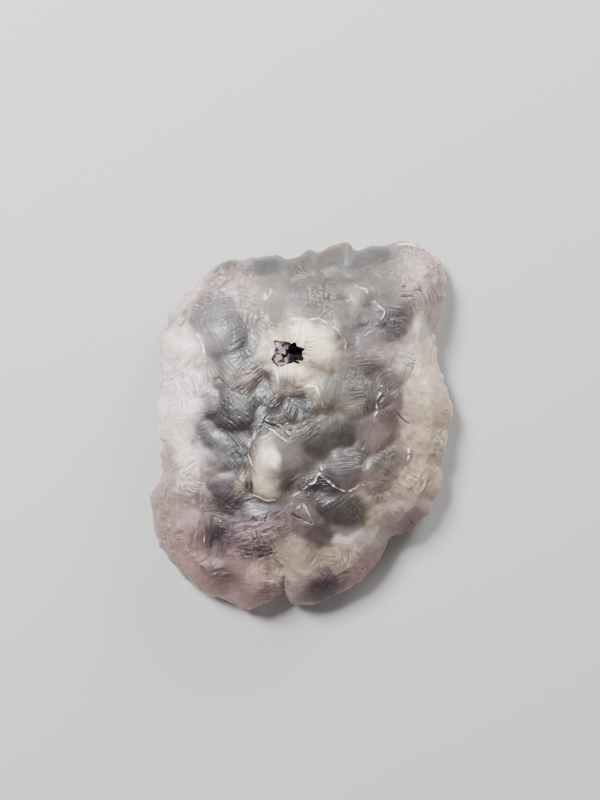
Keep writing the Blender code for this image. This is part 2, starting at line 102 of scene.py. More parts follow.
# The crystals along the rim
RIM_CRYSTALS = [
    (-23.6, 15.0, 5.4, 4.6, 0, 3.4, 0.97, "pale", 0.6),
    (-24.4, 21.8, 3.8, 3.4, 30, 2.4, 0.95, "lavender"),
    (-18.0, 28.8, 4.2, 2.6, 40, 2.2, 0.93, "lavender"),
    (-14.6, 31.2, 2.0, 2.0, 0, 1.0, 0.86, "olive"),
    (-11.0, 31.8, 2.8, 2.6, 0, 2.2, 0.93, "lavender"),
    (-6.2, 31.2, 4.1, 3.3, -8, 2.8, 0.91, "blue"),
    (0.6, 31.0, 3.5, 3.8, 0, 2.3, 0.92, "olive"),
    (7.2, 34.4, 3.4, 2.5, 12, 2.4, 0.90, "olive"),
    (15.6, 34.6, 3.0, 1.9, 5, 2.0, 0.92, "blue"),
    (20.6, 34.4, 3.2, 2.6, 0, 2.8, 0.91, "lavender"),
    (25.0, 31.2, 4.0, 4.4, 40, 3.8, 0.94, "lavender", 0.7),
    (22.4, 26.2, 4.8, 3.6, 0, 3.4, 0.92, "lavender"),
    (25.2, 21.8, 3.3, 3.2, 50, 2.6, 0.92, "lavender"),
    (23.0, 14.8, 4.6, 5.2, 0, 3.0, 0.97, "bone", 0.6),
    (24.8, 5.0, 5.4, 5.2, 0, 3.2, 0.96, "bone", 0.6),
    (24.4, -2.8, 5.2, 4.2, 0, 3.0, 0.94, "bone"),
    (23.0, -10.6, 5.4, 4.3, -12, 3.2, 0.95, "bone"),
    (23.8, -16.4, 2.9, 3.0, 0, 2.2, 0.90, "lavender"),
    (21.6, -19.2, 2.0, 2.3, 20, 2.2, 0.84, "blue", 0.5),
    (18.4, -17.2, 3.5, 3.6, 0, 2.2, 0.88, "lavender"),
    (18.6, -21.0, 2.6, 1.7, 0, 1.4, 0.90, "rose"),
    (12.8, -26.2, 2.9, 4.2, -28, 2.4, 0.92, "rose"),
    (9.4, -30.0, 3.1, 2.7, 30, 2.2, 0.93, "lavender"),
    (4.6, -31.6, 3.8, 3.5, 0, 2.8, 0.94, "mauve", 0.6),
    (-0.6, -31.4, 3.9, 4.4, 0, 3.0, 0.94, "lavender", 0.6),
    (-9.6, -32.0, 5.6, 4.5, -8, 3.2, 0.96, "rose", 0.6),
    (-17.0, -31.6, 3.8, 2.8, -25, 2.2, 0.94, "rose", 0.6),
    (-22.4, -27.0, 4.8, 4.1, -45, 2.8, 0.95, "rose", 0.6),
    (-25.2, -20.2, 4.9, 5.0, 4, 2.8, 0.92, "rose", 0.7),
    (-24.8, -13.0, 5.3, 3.6, 0, 2.6, 0.95, "rose"),
    (-23.4, -5.6, 5.5, 5.4, 0, 3.0, 0.97, "pale", 0.6),
    (-23.8, 2.2, 5.7, 4.7, 0, 3.4, 0.97, "pale", 0.5),
    (-23.8, 8.2, 5.2, 3.8, 0, 3.0, 0.97, "pale", 0.5),
]

# The crystals inside the rim
INNER_CRYSTALS = [
    (-16.2, 19.2, 5.2, 5.2, 0, 3.6, 0.96, "blue", 0.7),
    (-19.2, 25.2, 3.8, 3.0, -15, 2.4, 0.87, "lavender"),
    (-13.2, 26.2, 3.0, 3.5, 0, 2.4, 0.88, "lavender"),
    (-7.4, 26.2, 2.9, 2.7, 20, 2.2, 0.84, "lavender"),
    (-10.4, 22.4, 2.3, 3.3, 0, 2.0, 0.90, "lavender"),
    (-5.8, 22.0, 3.3, 2.9, 0, 2.6, 0.86, "olive"),
    (-1.8, 24.6, 2.5, 3.1, 25, 2.9, 0.88, "blue"),
    (3.2, 25.8, 2.8, 2.6, 0, 2.2, 0.90, "olive"),
    (7.0, 26.2, 2.6, 2.6, 0, 3.0, 0.84, "grey"),
    (11.4, 26.2, 2.8, 3.0, 20, 3.2, 0.86, "grey"),
    (5.6, 31.2, 2.3, 2.1, 10, 2.0, 0.86, "blue"),
    (9.4, 31.6, 2.2, 2.3, 0, 2.2, 0.90, "blue"),
    (12.8, 31.2, 3.0, 3.0, 0, 2.2, 0.92, "grey"),
    (15.8, 31.8, 2.2, 2.8, 25, 2.6, 0.92, "grey"),
    (16.8, 27.4, 2.6, 3.5, 15, 2.4, 0.90, "olive"),
    (17.8, 21.6, 4.0, 2.7, -35, 2.6, 0.88, "deep"),
    (18.6, 17.6, 2.8, 3.0, 0, 2.2, 0.90, "mauve"),
    (14.8, 20.4, 2.3, 2.3, 0, 3.2, 0.88, "deep"),
    (14.2, 14.4, 3.5, 4.4, 0, 3.4, 0.90, "blue"),
    (10.6, 21.4, 3.2, 2.8, 0, 2.4, 0.90, "olive"),
    (8.8, 10.8, 2.8, 2.6, -20, 2.4, 0.88, "green"),
    (16.6, 5.8, 2.8, 4.2, 0, 3.0, 0.84, "mauve"),
    (10.0, 5.6, 4.0, 4.0, 0, 3.6, 0.94, "green"),
    (5.4, 7.0, 2.7, 3.4, 0, 2.8, 0.90, "green"),
    (2.6, 6.4, 1.5, 2.4, 18, 3.4, 0.84, "cream"),
    (1.8, -1.4, 3.0, 3.0, 0, 3.2, 0.93, "grey"),
    (7.0, -0.8, 3.6, 3.1, 0, 2.8, 0.94, "deep"),
    (14.0, -1.2, 4.0, 3.2, 65, 3.0, 0.90, "grey"),
    (8.4, -8.2, 3.9, 4.1, 10, 4.4, 0.97, "blue", 0.7),
    (14.6, -8.6, 3.1, 3.8, 0, 3.8, 0.97, "green", 0.7),
    (18.6, -7.0, 2.3, 2.8, 0, 2.6, 0.86, "grey"),
    (13.8, -17.2, 2.4, 3.0, -10, 3.0, 0.90, "cream"),
    (8.2, -16.8, 4.2, 3.9, 0, 3.4, 0.92, "deep"),
    (-0.2, -15.4, 2.4, 2.2, 15, 2.4, 0.80, "lilac"),
    (-19.0, -7.4, 3.1, 4.0, -70, 2.4, 0.88, "lavender"),
    (-11.8, 3.6, 4.2, 3.8, 0, 3.3, 0.97, "deep", 0.8),
    (-13.8, -4.2, 4.0, 4.0, 0, 2.0, 0.88, "mauve"),
    (-17.8, 4.0, 2.2, 3.2, -15, 2.6, 0.84, "mauve"),
    (-18.4, -1.8, 2.6, 2.6, 0, 2.0, 0.88, "mauve"),
    (-7.0, 1.2, 1.4, 2.8, -28, 3.6, 0.86, "grey"),
    (-5.4, -7.0, 5.0, 6.6, 8, 5.2, 0.96, "green", 0.9),
    (-11.2, -9.2, 1.4, 2.7, -22, 3.4, 0.84, "cream"),
    (-0.8, 2.4, 2.5, 2.7, 0, 3.2, 0.84, "deep"),
    (-5.2, 5.2, 2.1, 2.1, 0, 2.6, 0.92, "deep"),
    (-14.0, -12.2, 3.7, 4.0, 0, 2.6, 0.90, "mauve"),
    (-7.4, -19.6, 6.6, 5.6, 12, 4.9, 0.92, "lilac", 1.4),
    (-16.6, -19.8, 3.0, 4.4, 0, 0.9, 0.78, "mauve", 0.4),
    (-20.4, -20.2, 2.2, 4.2, 0, 2.6, 0.88, "rose"),
    (-15.0, -28.2, 4.2, 3.6, 20, 2.8, 0.92, "mauve"),
    (7.6, -25.0, 3.4, 3.7, 0, 3.2, 0.86, "bone"),
    (13.4, -21.8, 2.9, 2.4, 0, 2.2, 0.82, "rose"),
    (-1.0, -24.2, 4.9, 3.5, 0, 3.0, 0.95, "bone"),
    (3.2, -20.8, 3.2, 3.0, 0, 2.4, 0.86, "mauve"),
    (-11.4, 11.0, 4.3, 3.6, 0, 3.0, 0.92, "grey"),
    (-13.6, 14.2, 3.0, 2.2, -30, 1.8, 0.84, "mauve"),
]

# The cream rosette that rings the vug's mouth
ROSETTE = [
    (-4.6, 18.0, 3.0, 2.5, -15, 3.8, 0.90, "cream", 0.7),
    (-7.2, 14.2, 2.3, 2.5, 0, 3.4, 0.90, "cream", 0.7),
    (-2.4, 10.2, 3.8, 2.6, -12, 3.8, 0.88, "cream", 0.7),
    (2.4, 16.8, 4.9, 5.2, 0, 5.0, 0.94, "cream", 0.5),
    (4.9, 13.2, 2.6, 2.7, 0, 4.4, 0.88, "cream", 0.7),
    (-4.6, 7.8, 1.4, 2.4, 10, 3.2, 0.86, "cream", 0.7),
    (3.2, 21.2, 3.4, 2.1, -14, 3.4, 0.86, "grey", 0.7),
    (7.6, 14.8, 1.9, 1.2, 20, 3.2, 0.84, "cream", 0.7),
]

# Every listed crystal
NAMED = [Crystal(*row) for row in RIM_CRYSTALS + INNER_CRYSTALS + ROSETTE]

# Small crystals fill what the larger ones leave, on the solid's own jittered grid
FILL_STEP = 3.0
FILL_JITTER = 0.45
FILL_HALF = (1.5, 2.3)
FILL_RISE = (0.9, 1.9)
FILL_ROUND = (0.78, 0.92)
FILL_SEED = 41

# The tones by name: red, green and blue from 0 to 1 as a screen shows them, how etched it is, and
# how milky
TONES = {
    "white": (0.915, 0.845, 0.745, 0.25, 1.00),
    "cream": (0.86, 0.77, 0.655, 0.40, 0.60),
    "bone": (0.855, 0.755, 0.665, 0.50, 0.45),
    "pale": (0.955, 0.895, 0.875, 0.45, 0.65),
    "lavender": (0.75, 0.645, 0.635, 0.60, 0.40),
    "lilac": (0.635, 0.52, 0.545, 1.60, 0.30),
    "grey": (0.36, 0.30, 0.28, 0.60, 0.12),
    "green": (0.42, 0.375, 0.33, 0.45, 0.15),
    "blue": (0.44, 0.41, 0.425, 0.45, 0.15),
    "slate": (0.23, 0.225, 0.26, 0.60, 0.05),
    "olive": (0.41, 0.345, 0.29, 0.70, 0.10),
    "mauve": (0.20, 0.115, 0.155, 0.70, 0.08),
    "deep": (0.21, 0.165, 0.15, 0.75, 0.00),
    "dark": (0.12, 0.085, 0.08, 0.70, 0.00),
    "rose": (0.755, 0.63, 0.605, 0.45, 0.35),
}

# Spots that are lighter, darker or smoother than the crystals they lie on: place, half sizes along
# and across a turn in degrees, tone, and how much of it
Spot = namedtuple("Spot", "x y along across turn tone share")
SPOTS = [
    (-24.2, 15.4, 4.4, 4.2, 0, "pale", 0.8),
    (-24.8, 4.2, 4.2, 5.2, 0, "pale", 0.8),
    (-23.6, -5.7, 4.6, 3.8, 0, "pale", 0.6),
    (-23.5, 23.9, 4.2, 2.6, 45, "pale", 0.5),
    (-14.9, 20.3, 4.2, 4.0, 0, "blue", 0.5),
    (-6.8, 31.2, 4.0, 2.6, 0, "slate", 0.8),
    (-14.3, 31.8, 2.0, 1.2, 20, "deep", 0.6),
    (15.8, 33.6, 3.4, 2.0, 0, "slate", 0.7),
    (8.6, 31.6, 3.2, 1.6, 0, "slate", 0.6),
    (24.0, 31.2, 4.6, 4.0, 40, "lavender", 0.6),
    (10.1, 26.4, 2.6, 2.4, 0, "lavender", 0.7),
    (16.8, 21.4, 4.6, 2.2, -30, "deep", 0.8),
    (16.3, 17.2, 3.0, 2.2, 0, "deep", 0.5),
    (0.5, 18.5, 2.6, 2.6, 0, "white", 0.9),
    (3.6, 15.4, 3.2, 3.4, -40, "white", 0.9),
    (-1.6, 10.2, 2.8, 1.6, 0, "white", 0.7),
    (-6.9, 14.6, 1.6, 2.0, 0, "cream", 0.6),
    (24.2, 14.6, 3.4, 7.2, 10, "white", 0.6),
    (24.4, 4.6, 3.0, 3.4, 0, "bone", 0.7),
    (-11.8, 3.4, 1.6, 1.4, 0, "grey", 0.6),
    (-14.9, -3.2, 3.2, 4.6, 20, "mauve", 0.7),
    (-3.6, 3.6, 3.8, 2.2, 0, "deep", 0.8),
    (-1.4, 2.4, 1.5, 1.7, 0, "grey", 0.5),
    (-10.3, 9.6, 2.0, 1.4, 20, "bone", 0.7),
    (-13.3, 10.8, 1.3, 1.1, 0, "cream", 0.8),
    (-7.9, -8.0, 2.2, 6.0, 8, "cream", 1.0),
    (-8.2, -2.9, 1.5, 1.9, 0, "grey", 0.7),
    (-5.6, -11.2, 2.8, 2.6, 0, "white", 0.7),
    # A painted highlight on the main dome
    (-5.2, -5.8, 1.9, 2.8, 12, "white", 1.0),
    (-1.2, -6.0, 2.3, 4.8, 0, "blue", 0.95),
    (-1.0, -6.0, 2.2, 4.0, 0, "pale", 0.3),
    (9.0, 18.0, 3.2, 3.6, 0, "dark", 0.8),
    (-11.0, 18.4, 3.0, 4.2, 0, "deep", 0.7),
    (-6.6, 20.0, 2.6, 2.0, 0, "deep", 0.7),
    (-11.4, 13.6, 3.0, 3.0, 0, "dark", 0.85),
    (-6.9, 8.6, 2.0, 2.6, 0, "mauve", 0.9),
    (15.2, 13.6, 4.0, 3.2, 0, "lavender", 0.75),
    (9.4, 3.8, 2.8, 3.0, 0, "lavender", 0.55),
    (14.0, -1.2, 3.2, 3.4, 0, "lavender", 0.55),
    (-11.8, -5.0, 2.8, 4.6, 0, "dark", 0.85),
    (3.6, -11.0, 3.4, 3.4, 0, "dark", 0.95),
    (-8.0, -15.6, 5.4, 2.2, 0, "mauve", 0.8),
    (-1.9, -11.6, 2.4, 2.0, 20, "grey", 0.7),
    (-11.4, -10.8, 1.2, 2.2, -25, "bone", 0.9),
    (-16.6, -20.0, 2.6, 4.2, 0, "mauve", 1.0),
    (-2.4, -22.8, 4.4, 3.0, -15, "bone", 0.7),
    (0.5, -16.2, 1.9, 1.3, 30, "lavender", 0.5),
    (6.4, -14.6, 5.0, 2.4, 0, "deep", 0.9),
    (8.8, -20.8, 4.4, 2.4, 0, "pale", 0.8),
    (15.4, -21.6, 3.6, 2.4, 0, "pale", 0.7),
    (21.4, -11.4, 5.4, 3.2, 0, "cream", 0.8),
    (12.6, -11.6, 5.0, 2.8, 0, "lavender", 0.8),
    (18.6, 13.6, 4.0, 3.2, 0, "pale", 0.7),
    (-26.4, -7.0, 2.8, 5.0, 0, "lavender", 0.9),
    (18.6, 3.8, 2.6, 3.0, 0, "lavender", 0.5),
    (23.2, 18.6, 3.2, 3.0, 0, "pale", 0.6),
    (-18.0, -16.8, 3.4, 2.6, 0, "lavender", 0.7),
    (-16.4, -26.0, 3.6, 3.0, 0, "rose", 0.7),
    (-21.6, 28.0, 3.4, 2.6, 45, "pale", 0.5),
    (-15.6, 24.6, 3.0, 2.2, 0, "blue", 0.5),
    (-9.2, -26.6, 5.0, 3.0, 0, "rose", 0.8),
    (-9.4, 3.0, 5.6, 4.0, 0, "dark", 1.0),
    (-0.6, 4.2, 3.2, 2.8, 0, "dark", 1.0),
    (-3.0, 8.8, 2.6, 1.4, 0, "grey", 0.5),
    (-15.4, -1.4, 3.4, 3.0, 0, "mauve", 0.85),
    (14.2, -17.4, 1.4, 2.4, -20, "cream", 0.7),
    (-7.0, -28.4, 4.2, 2.2, -10, "bone", 0.6),
    (5.0, -31.2, 2.2, 1.8, 0, "mauve", 0.9),
    (8.1, -25.3, 2.6, 2.2, 0, "bone", 0.6),
    (4.2, 20.2, 3.2, 1.6, 0, "green", 0.5),
    (9.6, -16.4, 3.0, 2.4, 0, "grey", 0.6),
    (3.8, -21.0, 2.4, 2.2, 0, "grey", 0.7),
    (-6.6, -21.0, 4.2, 2.8, 12, "lavender", 0.5),
    (-5.8, 28.6, 3.0, 2.0, 0, "olive", 0.6),
    (9.2, 28.8, 3.0, 2.0, 0, "deep", 0.5),
]

# Thin pale edges and rows of pale beads, partly their own colour and partly painted highlight, and
# sunken cracks painted dark with painted shade: the kind, half its width, and its corners
LINES = [
    ("pale", 0.20, [(-8.2, -1.1), (-9.5, -3.2), (-9.9, -5.2), (-9.1, -7.2)]),
    ("dark", 0.26, [(-10.0, -8.3), (-10.3, -10.1), (-10.4, -11.4)]),
    ("dark", 0.30, [(-9.1, -7.2), (-9.4, -10.1), (-9.4, -12.6)]),
    ("pale", 0.14, [(-9.0, -12.9), (-7.2, -13.6), (-4.9, -13.9)]),
    ("dark", 0.21, [(-11.1, -19.6), (-10.4, -19.3), (-9.5, -19.0)]),
    ("dark", 0.23, [(-8.9, -21.1), (-8.1, -20.4), (-7.1, -19.8)]),
    ("dark", 0.22, [(-6.2, -21.3), (-5.0, -20.9), (-3.9, -20.5)]),
    ("dark", 0.24, [(-12.0, -23.6), (-10.9, -23.3), (-9.9, -23.1)]),
    ("dark", 0.24, [(-10.6, -22.5), (-8.9, -22.4), (-7.4, -22.1)]),
    ("dark", 0.23, [(-10.4, -23.8), (-9.2, -23.5), (-7.8, -23.1), (-6.3, -22.7)]),
    ("dark", 0.22, [(-8.6, -24.0), (-7.0, -23.8), (-5.9, -23.3)]),
    ("dark", 0.23, [(-10.4, -24.7), (-9.2, -24.5), (-8.3, -24.1)]),
    ("dark", 0.22, [(-8.2, -24.9), (-7.1, -24.6), (-5.9, -24.0)]),
    ("dark", 0.20, [(-8.8, -17.6), (-8.2, -16.7)]),
    ("dark", 0.20, [(-7.0, -18.4), (-6.4, -17.4), (-6.1, -16.6)]),
    ("dark", 0.20, [(-10.8, -18.0), (-9.6, -17.8), (-9.2, -17.0)]),
    ("beads", 0.27, [(-1.6, -12.9), (1.0, -11.3), (3.0, -10.1), (4.1, -8.5), (3.8, -7.2)]),
    ("beads", 0.27, [(4.1, -9.5), (5.8, -10.8), (8.1, -12.2), (10.4, -11.9), (12.2, -11.1)]),
    ("pale", 0.16, [(-6.4, -0.1), (-5.0, -0.8), (-4.1, -1.6), (-2.8, -2.5)]),
    ("dark", 0.20, [(-6.7, 0.7), (-3.9, -0.4), (-2.1, -2.1)]),
    ("pale", 0.13, [(-6.0, 1.0), (-4.4, 0.7), (-3.2, -0.2), (-1.9, -1.5)]),
    ("dark", 0.18, [(-5.2, 1.5), (-2.9, 0.5), (-1.6, -0.9)]),
    ("pale", 0.18, [(-9.8, -3.2), (-8.5, -0.6), (-6.7, 2.2)]),
    ("dark", 0.20, [(-7.7, -0.6), (-6.7, 1.2), (-6.1, 2.2)]),
    ("pale", 0.30, [(18.8, 36.2), (23.2, 36.2), (26.7, 33.9), (28.6, 31.0), (28.9, 28.0), (28.4, 23.9)]),
    ("pale", 0.28, [(-20.1, 17.8), (-18.8, 15.2), (-18.5, 12.6)]),
    ("pale", 0.22, [(-1.6, 20.6), (3.5, 20.6), (6.6, 18.8), (8.1, 16.7), (8.6, 14.2)]),
    ("pale", 0.25, [(-5.7, 17.8), (-5.2, 12.6), (-4.4, 9.6), (-4.4, 6.5)]),
    ("pale", 0.25, [(1.0, 7.5), (3.0, 7.5), (4.0, 4.5)]),
    ("pale", 0.25, [(-7.7, -29.7), (-4.6, -30.5), (-3.2, -33.3)]),
    ("pale", 0.14, [(-1.6, -16.2), (0.5, -14.6), (1.9, -17.7)]),
    ("dark", 0.18, [(-1.8, -16.6), (0.5, -17.8), (1.9, -18.2)]),
    ("beads", 0.25, [(15.7, 8.0), (14.5, 5.0), (14.0, 2.4)]),
    ("dark", 0.22, [(18.8, 2.2), (19.8, 1.2), (20.8, 0.5)]),
    ("dark", 0.25, [(21.6, -18.7), (22.6, -20.0), (23.7, -20.6)]),
    ("beads", 0.28, [(20.9, -3.7), (21.1, -5.7), (20.4, -7.2)]),
    ("pale", 0.18, [(-18.8, -18.5), (-18.5, -20.5), (-18.8, -22.0)]),
    ("pale", 0.16, [(14.0, 24.1), (15.8, 22.3), (15.2, 20.8)]),
    ("pale", 0.16, [(12.7, 17.8), (14.2, 19.0), (15.2, 18.5)]),
    ("dark", 0.14, [(18.1, 26.8), (20.4, 27.1), (22.9, 26.8)]),
    ("dark", 0.14, [(18.3, 25.8), (20.6, 26.1), (23.2, 25.9)]),
    ("dark", 0.14, [(18.8, 24.9), (20.9, 25.0), (22.9, 24.9)]),
    ("pale", 0.14, [(-7.2, 27.4), (-5.7, 26.4), (-6.9, 24.9), (-7.2, 27.2)]),
    ("pale", 0.16, [(10.4, 27.4), (12.7, 26.2), (13.2, 24.4)]),
]

# How high each kind of line stands, how far it reaches, how it wavers, and how its width varies
LINE_HEIGHT = {"pale": 0.12, "beads": 0.20, "dark": -0.30}
LINE_REACH = 1.0
LINE_SWAY = 0.35
LINE_SWAY_CELL = 1.6
LINE_CELL = {"pale": 1.1, "beads": 0.45, "dark": 1.1}
LINE_FULLNESS = 0.45
LINE_VARIES = 1.5
LINE_FULLEST = 0.9
LINE_LEAST = 0.01

# The vug, as the solid has it
VUG_AT = Vector((-2.5, 14.2))
VUG_HALF = (2.8, 2.15)
VUG_TOP = 18.6
VUG_FLOOR = 5.2
VUG_WIDEN = 0.25
VUG_WIDEST = 1.3
VUG_SHOULDER = 0.45
VUG_TURN = math.radians(12)
VUG_CUT_ABOVE = 3

# Its mouth comes to sharp points between the crystals around it
VUG_MOUTH = [
    (0.9, 14.8), (0.2, 14.2), (0.4, 13.4), (0.9, 12.2), (0.1, 11.9), (-0.6, 12.7), (-1.5, 12.3),
    (-2.8, 11.9), (-4.6, 11.3), (-5.4, 12.2), (-5.8, 12.9), (-5.0, 14.0), (-4.7, 15.2), (-5.5, 16.8),
    (-4.0, 16.3), (-2.8, 16.2), (-1.9, 15.7), (-1.1, 16.2), (-0.8, 15.3),
]
MOUTH_DEPTH = 0.22

# The height map that the mesh is read from
GRID_STEP = 0.1
GRID_HALF = (32.0, 39.0)

# The mesh: a sphere, whose cap down to a height becomes the upper side, and its ragged rim
BALL_STEPS = 6
BALL_CUTS = 2
VUG_STEPS = 5
CAP_ENDS_AT = -0.34
RIM_RAGGED = 0.28
RIM_RAGGED_CELL = 1.1
RIM_INSET = 0.2
RIM_BLEND = 0.03
LEAST_HEIGHT = 0.5

# The etched steps: blocks of these sizes in the crystal's own turned frame
BLOCK = (2.4, 0.85, 0.80)
BLOCK_VARIES = (0.8, 1.2)
BLOCK_JITTER = 0.26
BLOCK_LIFT = 0.34
BLOCK_REACH = 1.2
BLOCK_TRIES = 22
BLOCK_HALVINGS = 3
BLOCK_WARP = 0.75
BLOCK_WARP_CELL = 4.5
STEEP_TILT = (24, 50)
LEVEL_TILT = (5, 16)
LEVEL_SHARE = 0.5
TURN_VARIES = 0.5
ETCH_CELL = 5.5
ETCH_LEAST = 0.25
ETCH_LESS = 0.1
ETCH_DEPTH = 0.10
FRAME_SEED = 5

# How creases are filled and rounded, and how far in the outline's notches reach
CREASE_FILL = 0.85
CREASE_WIDTH = 3.0
CREASE_START = 1.0
CREASE_ROUND = 0.5
NOTCH_REACH = 0.14
NOTCH_BLUR = 1.8
RELIEF_OWN = 0.23
RELIEF_BLUR = 2.7
RELIEF_LIFT = 0.35
WARP = 1.1
WARP_CELL = 3.6
WARP_SMALL_SHARE = 0.2
WARP_SMALL_CELL = 0.35
WARP_ROOM = 1.4

# How far tones fade into each other, and how far a spot reaches and how softly it ends
TONE_BLUR = 2.2
TONE_OWN = 0.22
TONE_LEAD = 2.0
TONE_DRIFT = 0.6
TONE_DRIFT_CELL = 1.4
SPOT_REACH = 1.6
SPOT_FALL = 1.2
SPOT_POWER = 1.5

# The pale edge of a crystal, partly its own colour and partly painted highlight, and where the strokes
# of two crystals end between them
EDGE_FALL = 0.35
SEAM_REACH = 0.3
SEAM_STRENGTH = 4.0
UPPER_STARTS = 0.6
UPPER_FADE = 0.3

# The thin rim is painted lighter: a painted glow, for the light in it
RIM_GLOW = 0.7
RIM_GLOW_WIDTH = 0.7
RIM_GLOW_COLOUR = (0.98, 0.96, 0.95)

# How clear the stone is, from its clearest to its milkiest, and what its inside takes from the light
CLEAR = 0.88
MILKY = 0.60
MILK_GRADES = 6
MILK_LEAST = 0.3
MILK_MOTTLE = 0.15
MILK_CELL = 0.8
LINE_MILK = 0.8
FLUORITE_IOR = 1.434
ABSORPTION = 110
ABSORPTION_TINT = (0.83, 0.795, 0.775, 1)

# The etching's marks: how many fit in a millimetre, and how they are stretched along the crystal's
# axes. In some patches they lie along its turn and in the others across it.
LONG_FACETS = (1.4, (0.36, 1.5, 0.6))
CROSS_FACETS = (2.0, (1.5, 0.42, 0.6))
LONG_STROKES = (0.34, 3.0, 0.6)
CROSS_STROKES = (3.0, 0.42, 0.6)
STROKE_DETAIL = 1.5
STROKE_RAMP = (0.41, 0.59)
LONG_STEPS = (0.42, 9, (0.4, 1.5, 1.5))
CROSS_STEPS = (0.8, 8, (1.5, 0.6, 1.5))
PATCHES = 0.17
PATCH_RAMP = (0.53, 0.57)

# How much lighter or darker the marks, their steps and wide clouds make the tone
PLATES = 0.38
STROKES = 1.5
FACET_CONTRAST = 0.66
TONE_LEVEL = 0.52
CLOUDS = 0.32
CLOUDS_IN_MM = 0.35
# Painted highlights along the tops of the growth steps
BRIGHT_LINES = 0.28
BRIGHT_RAMP = (0.86, 0.96)
# Painted shade at the feet of the growth steps
DARK_LINES = 0.5
DARK_RAMP = (0.14, 0.05)
# The crystals' pale edges, partly their own colour and partly painted highlight
PALE_EDGES = 0.35
EDGE_RAMP = (0.45, 0.65)
# Painted glints: white specks on the brightest small facets
PAINTED_GLINTS = 0.4
PAINTED_GLINT_RAMP = (0.93, 0.95)
DRAWN_RAMP = (1.0, 0.5)
# The colour of the painted highlights and glints, and of the drawn pale lines
PALE_AND_GLINT = (0.93, 0.88, 0.81, 1)
# The colour of the painted shade, at the steps' feet and along the drawn cracks
GROOVE = (0.05, 0.04, 0.045, 1)

# How deep the marks are, in millimetres, and how the surface shines
FACET_HEIGHT = 0.10
STROKE_HEIGHT = 0.05
STEP_HEIGHT = 0.06
GRAINS_IN_MM = 6.0
GRAIN_HEIGHT = 0.022
BUMP = 0.8
ROUGHNESS = 0.44
ROUGHNESS_VARIES = 0.12
COAT = 0.06
COAT_ROUGHNESS = 0.12

# The vug's crust: a thin wall, small cubes all over it, and a heap of them at its left side
CRUST_GAP = 0.30
CRUST_WALL = 0.45
CRUST_TOP = 13.6
CRUST_TILT = math.radians(14)
CRUST_CUBES = 420
CRUST_CUBE_SIZE = (0.5, 1.35)
CRUST_CUBE_VARIES = (0.6, 1.0)
CRUST_SEED = 3
CUBE_CORNER = 0.87
CUBE_GAP = 0.03
HEAP_COUNT = 90
HEAP_LEFT = (-4.9, 12.3, 14.2)
HEAP_SIZE = (2.7, 3.8)
HEAP_FALL = 1.1
HEAP_LUMPS = 0.6
HEAP_CUBE = (0.6, 1.2)

# Its colours: pale violet at its left end, and nearly black towards its right, partly the crystals' own
# dark violet and partly painted shade in the deep hollow
PALE_CRYSTALS_END = -2.0
PALE_CRYSTALS_FULL = -3.2
VIOLET_DARK = (0.02, 0.014, 0.02, 1)
VIOLET_PALE = (0.24, 0.20, 0.22, 1)
VIOLET_DEEP_AND_SHADE = (0.004, 0.002, 0.005, 1)
VIOLET_PATCHES = 1.1
VIOLET_GRAIN = 2.5
VIOLET_GRAIN_HEIGHT = 0.05
VIOLET_BUMP = 0.3
VIOLET_ROUGHNESS = 0.12

# The floor, and each lamp's size, power and place. All lengths here are in metres.
FLOOR_SIZE = 3
FLOOR_GAP = 0.0002
FLOOR_COLOUR = (0.190, 0.187, 0.184, 1)
FLOOR_ROUGHNESS = 0.8
LAMPS = {
    "key": (0.18, 26.0, (-0.28, 0.30, 0.47)),
    "rim": (0.25, 14.0, (0.30, 0.50, 0.20)),
}
SKY_COLOUR = (0.96, 0.96, 0.96, 1)
SKY_STRENGTH = 0.65

# The photograph: its scale, its long side and middle, and where the plate's middle is in it, in pixels
PIXEL = 0.2
PHOTO_LONG_SIDE = 800
PHOTO_MIDDLE = (300, 400)
PLATE_IN_PHOTO = (301, 426)
LENS = 50
CLIP_START = 0.01

# A seed for each kind of noise
BREAK_SEEDS = (3, 4, 5)
RIM_SEED = 1
WARP_SEEDS = (81, 82)
LINE_SEEDS = (61, 62)
BLOCK_WARP_SEEDS = (11, 12, 13)
BLOCK_SEED = 21
RAGGED_SEED = 31
DRIFT_SEEDS = (41, 42)
ETCH_SEEDS = (51, 52)
MILK_SEED = 71


def wander(points, cell, seed):
    """Smooth noise at each point, about -0.7 to 0.7, whose lumps are about a cell across."""
    shift = Vector((0, 0, seed * NOISE_LAYER))
    return np.array([noise.noise(Vector(point) / cell + shift) for point in points])


def hashed(cells, seed):
    """A number from 0 to 1 for each whole-numbered cell, the same on every run."""
    i, j, k = (cells[..., axis].astype(np.int64) for axis in range(3))
    n = (i * 374761393 + j * 668265263 + k * 1442695041 + seed * 1274126177) & 0x7FFFFFFF
    n = ((n ^ (n >> 13)) * 1103515245) & 0x7FFFFFFF
    n = ((n ^ (n >> 16)) * 69069) & 0x7FFFFFFF
    return (n & 0xFFFFF) / 0xFFFFF


def cloud(points, cell, seed):
    """Smooth noise from -1 to 1 at many points at once."""
    points = points / cell
    base = np.floor(points)
    part = points - base
    part = part * part * (3 - 2 * part)
    total = np.zeros(points.shape[:-1])
    for corner in range(8):
        step = np.array([(corner >> axis) & 1 for axis in range(3)])
        weight = np.prod(np.where(step, part, 1 - part), axis=-1)
        total += weight * hashed(base + step, seed)
    return 2 * total - 1


def radius_at(angle, corners):
    """How far a closed line around the origin lies from it at each angle."""
    angles = np.arctan2(corners[:, 1], corners[:, 0])
    order = np.argsort(angles)
    return np.interp(angle, angles[order], np.hypot(*corners[order].T), period=2 * math.pi)


def rim_radius(angle):
    """How far the plate's outline lies from the middle at each angle."""
    return radius_at(angle, np.array(OUTLINE))


def on_floor(x, y):
    """The places at height 0 that have this x and y."""
    return np.stack((x, y, 0 * x), axis=-1)


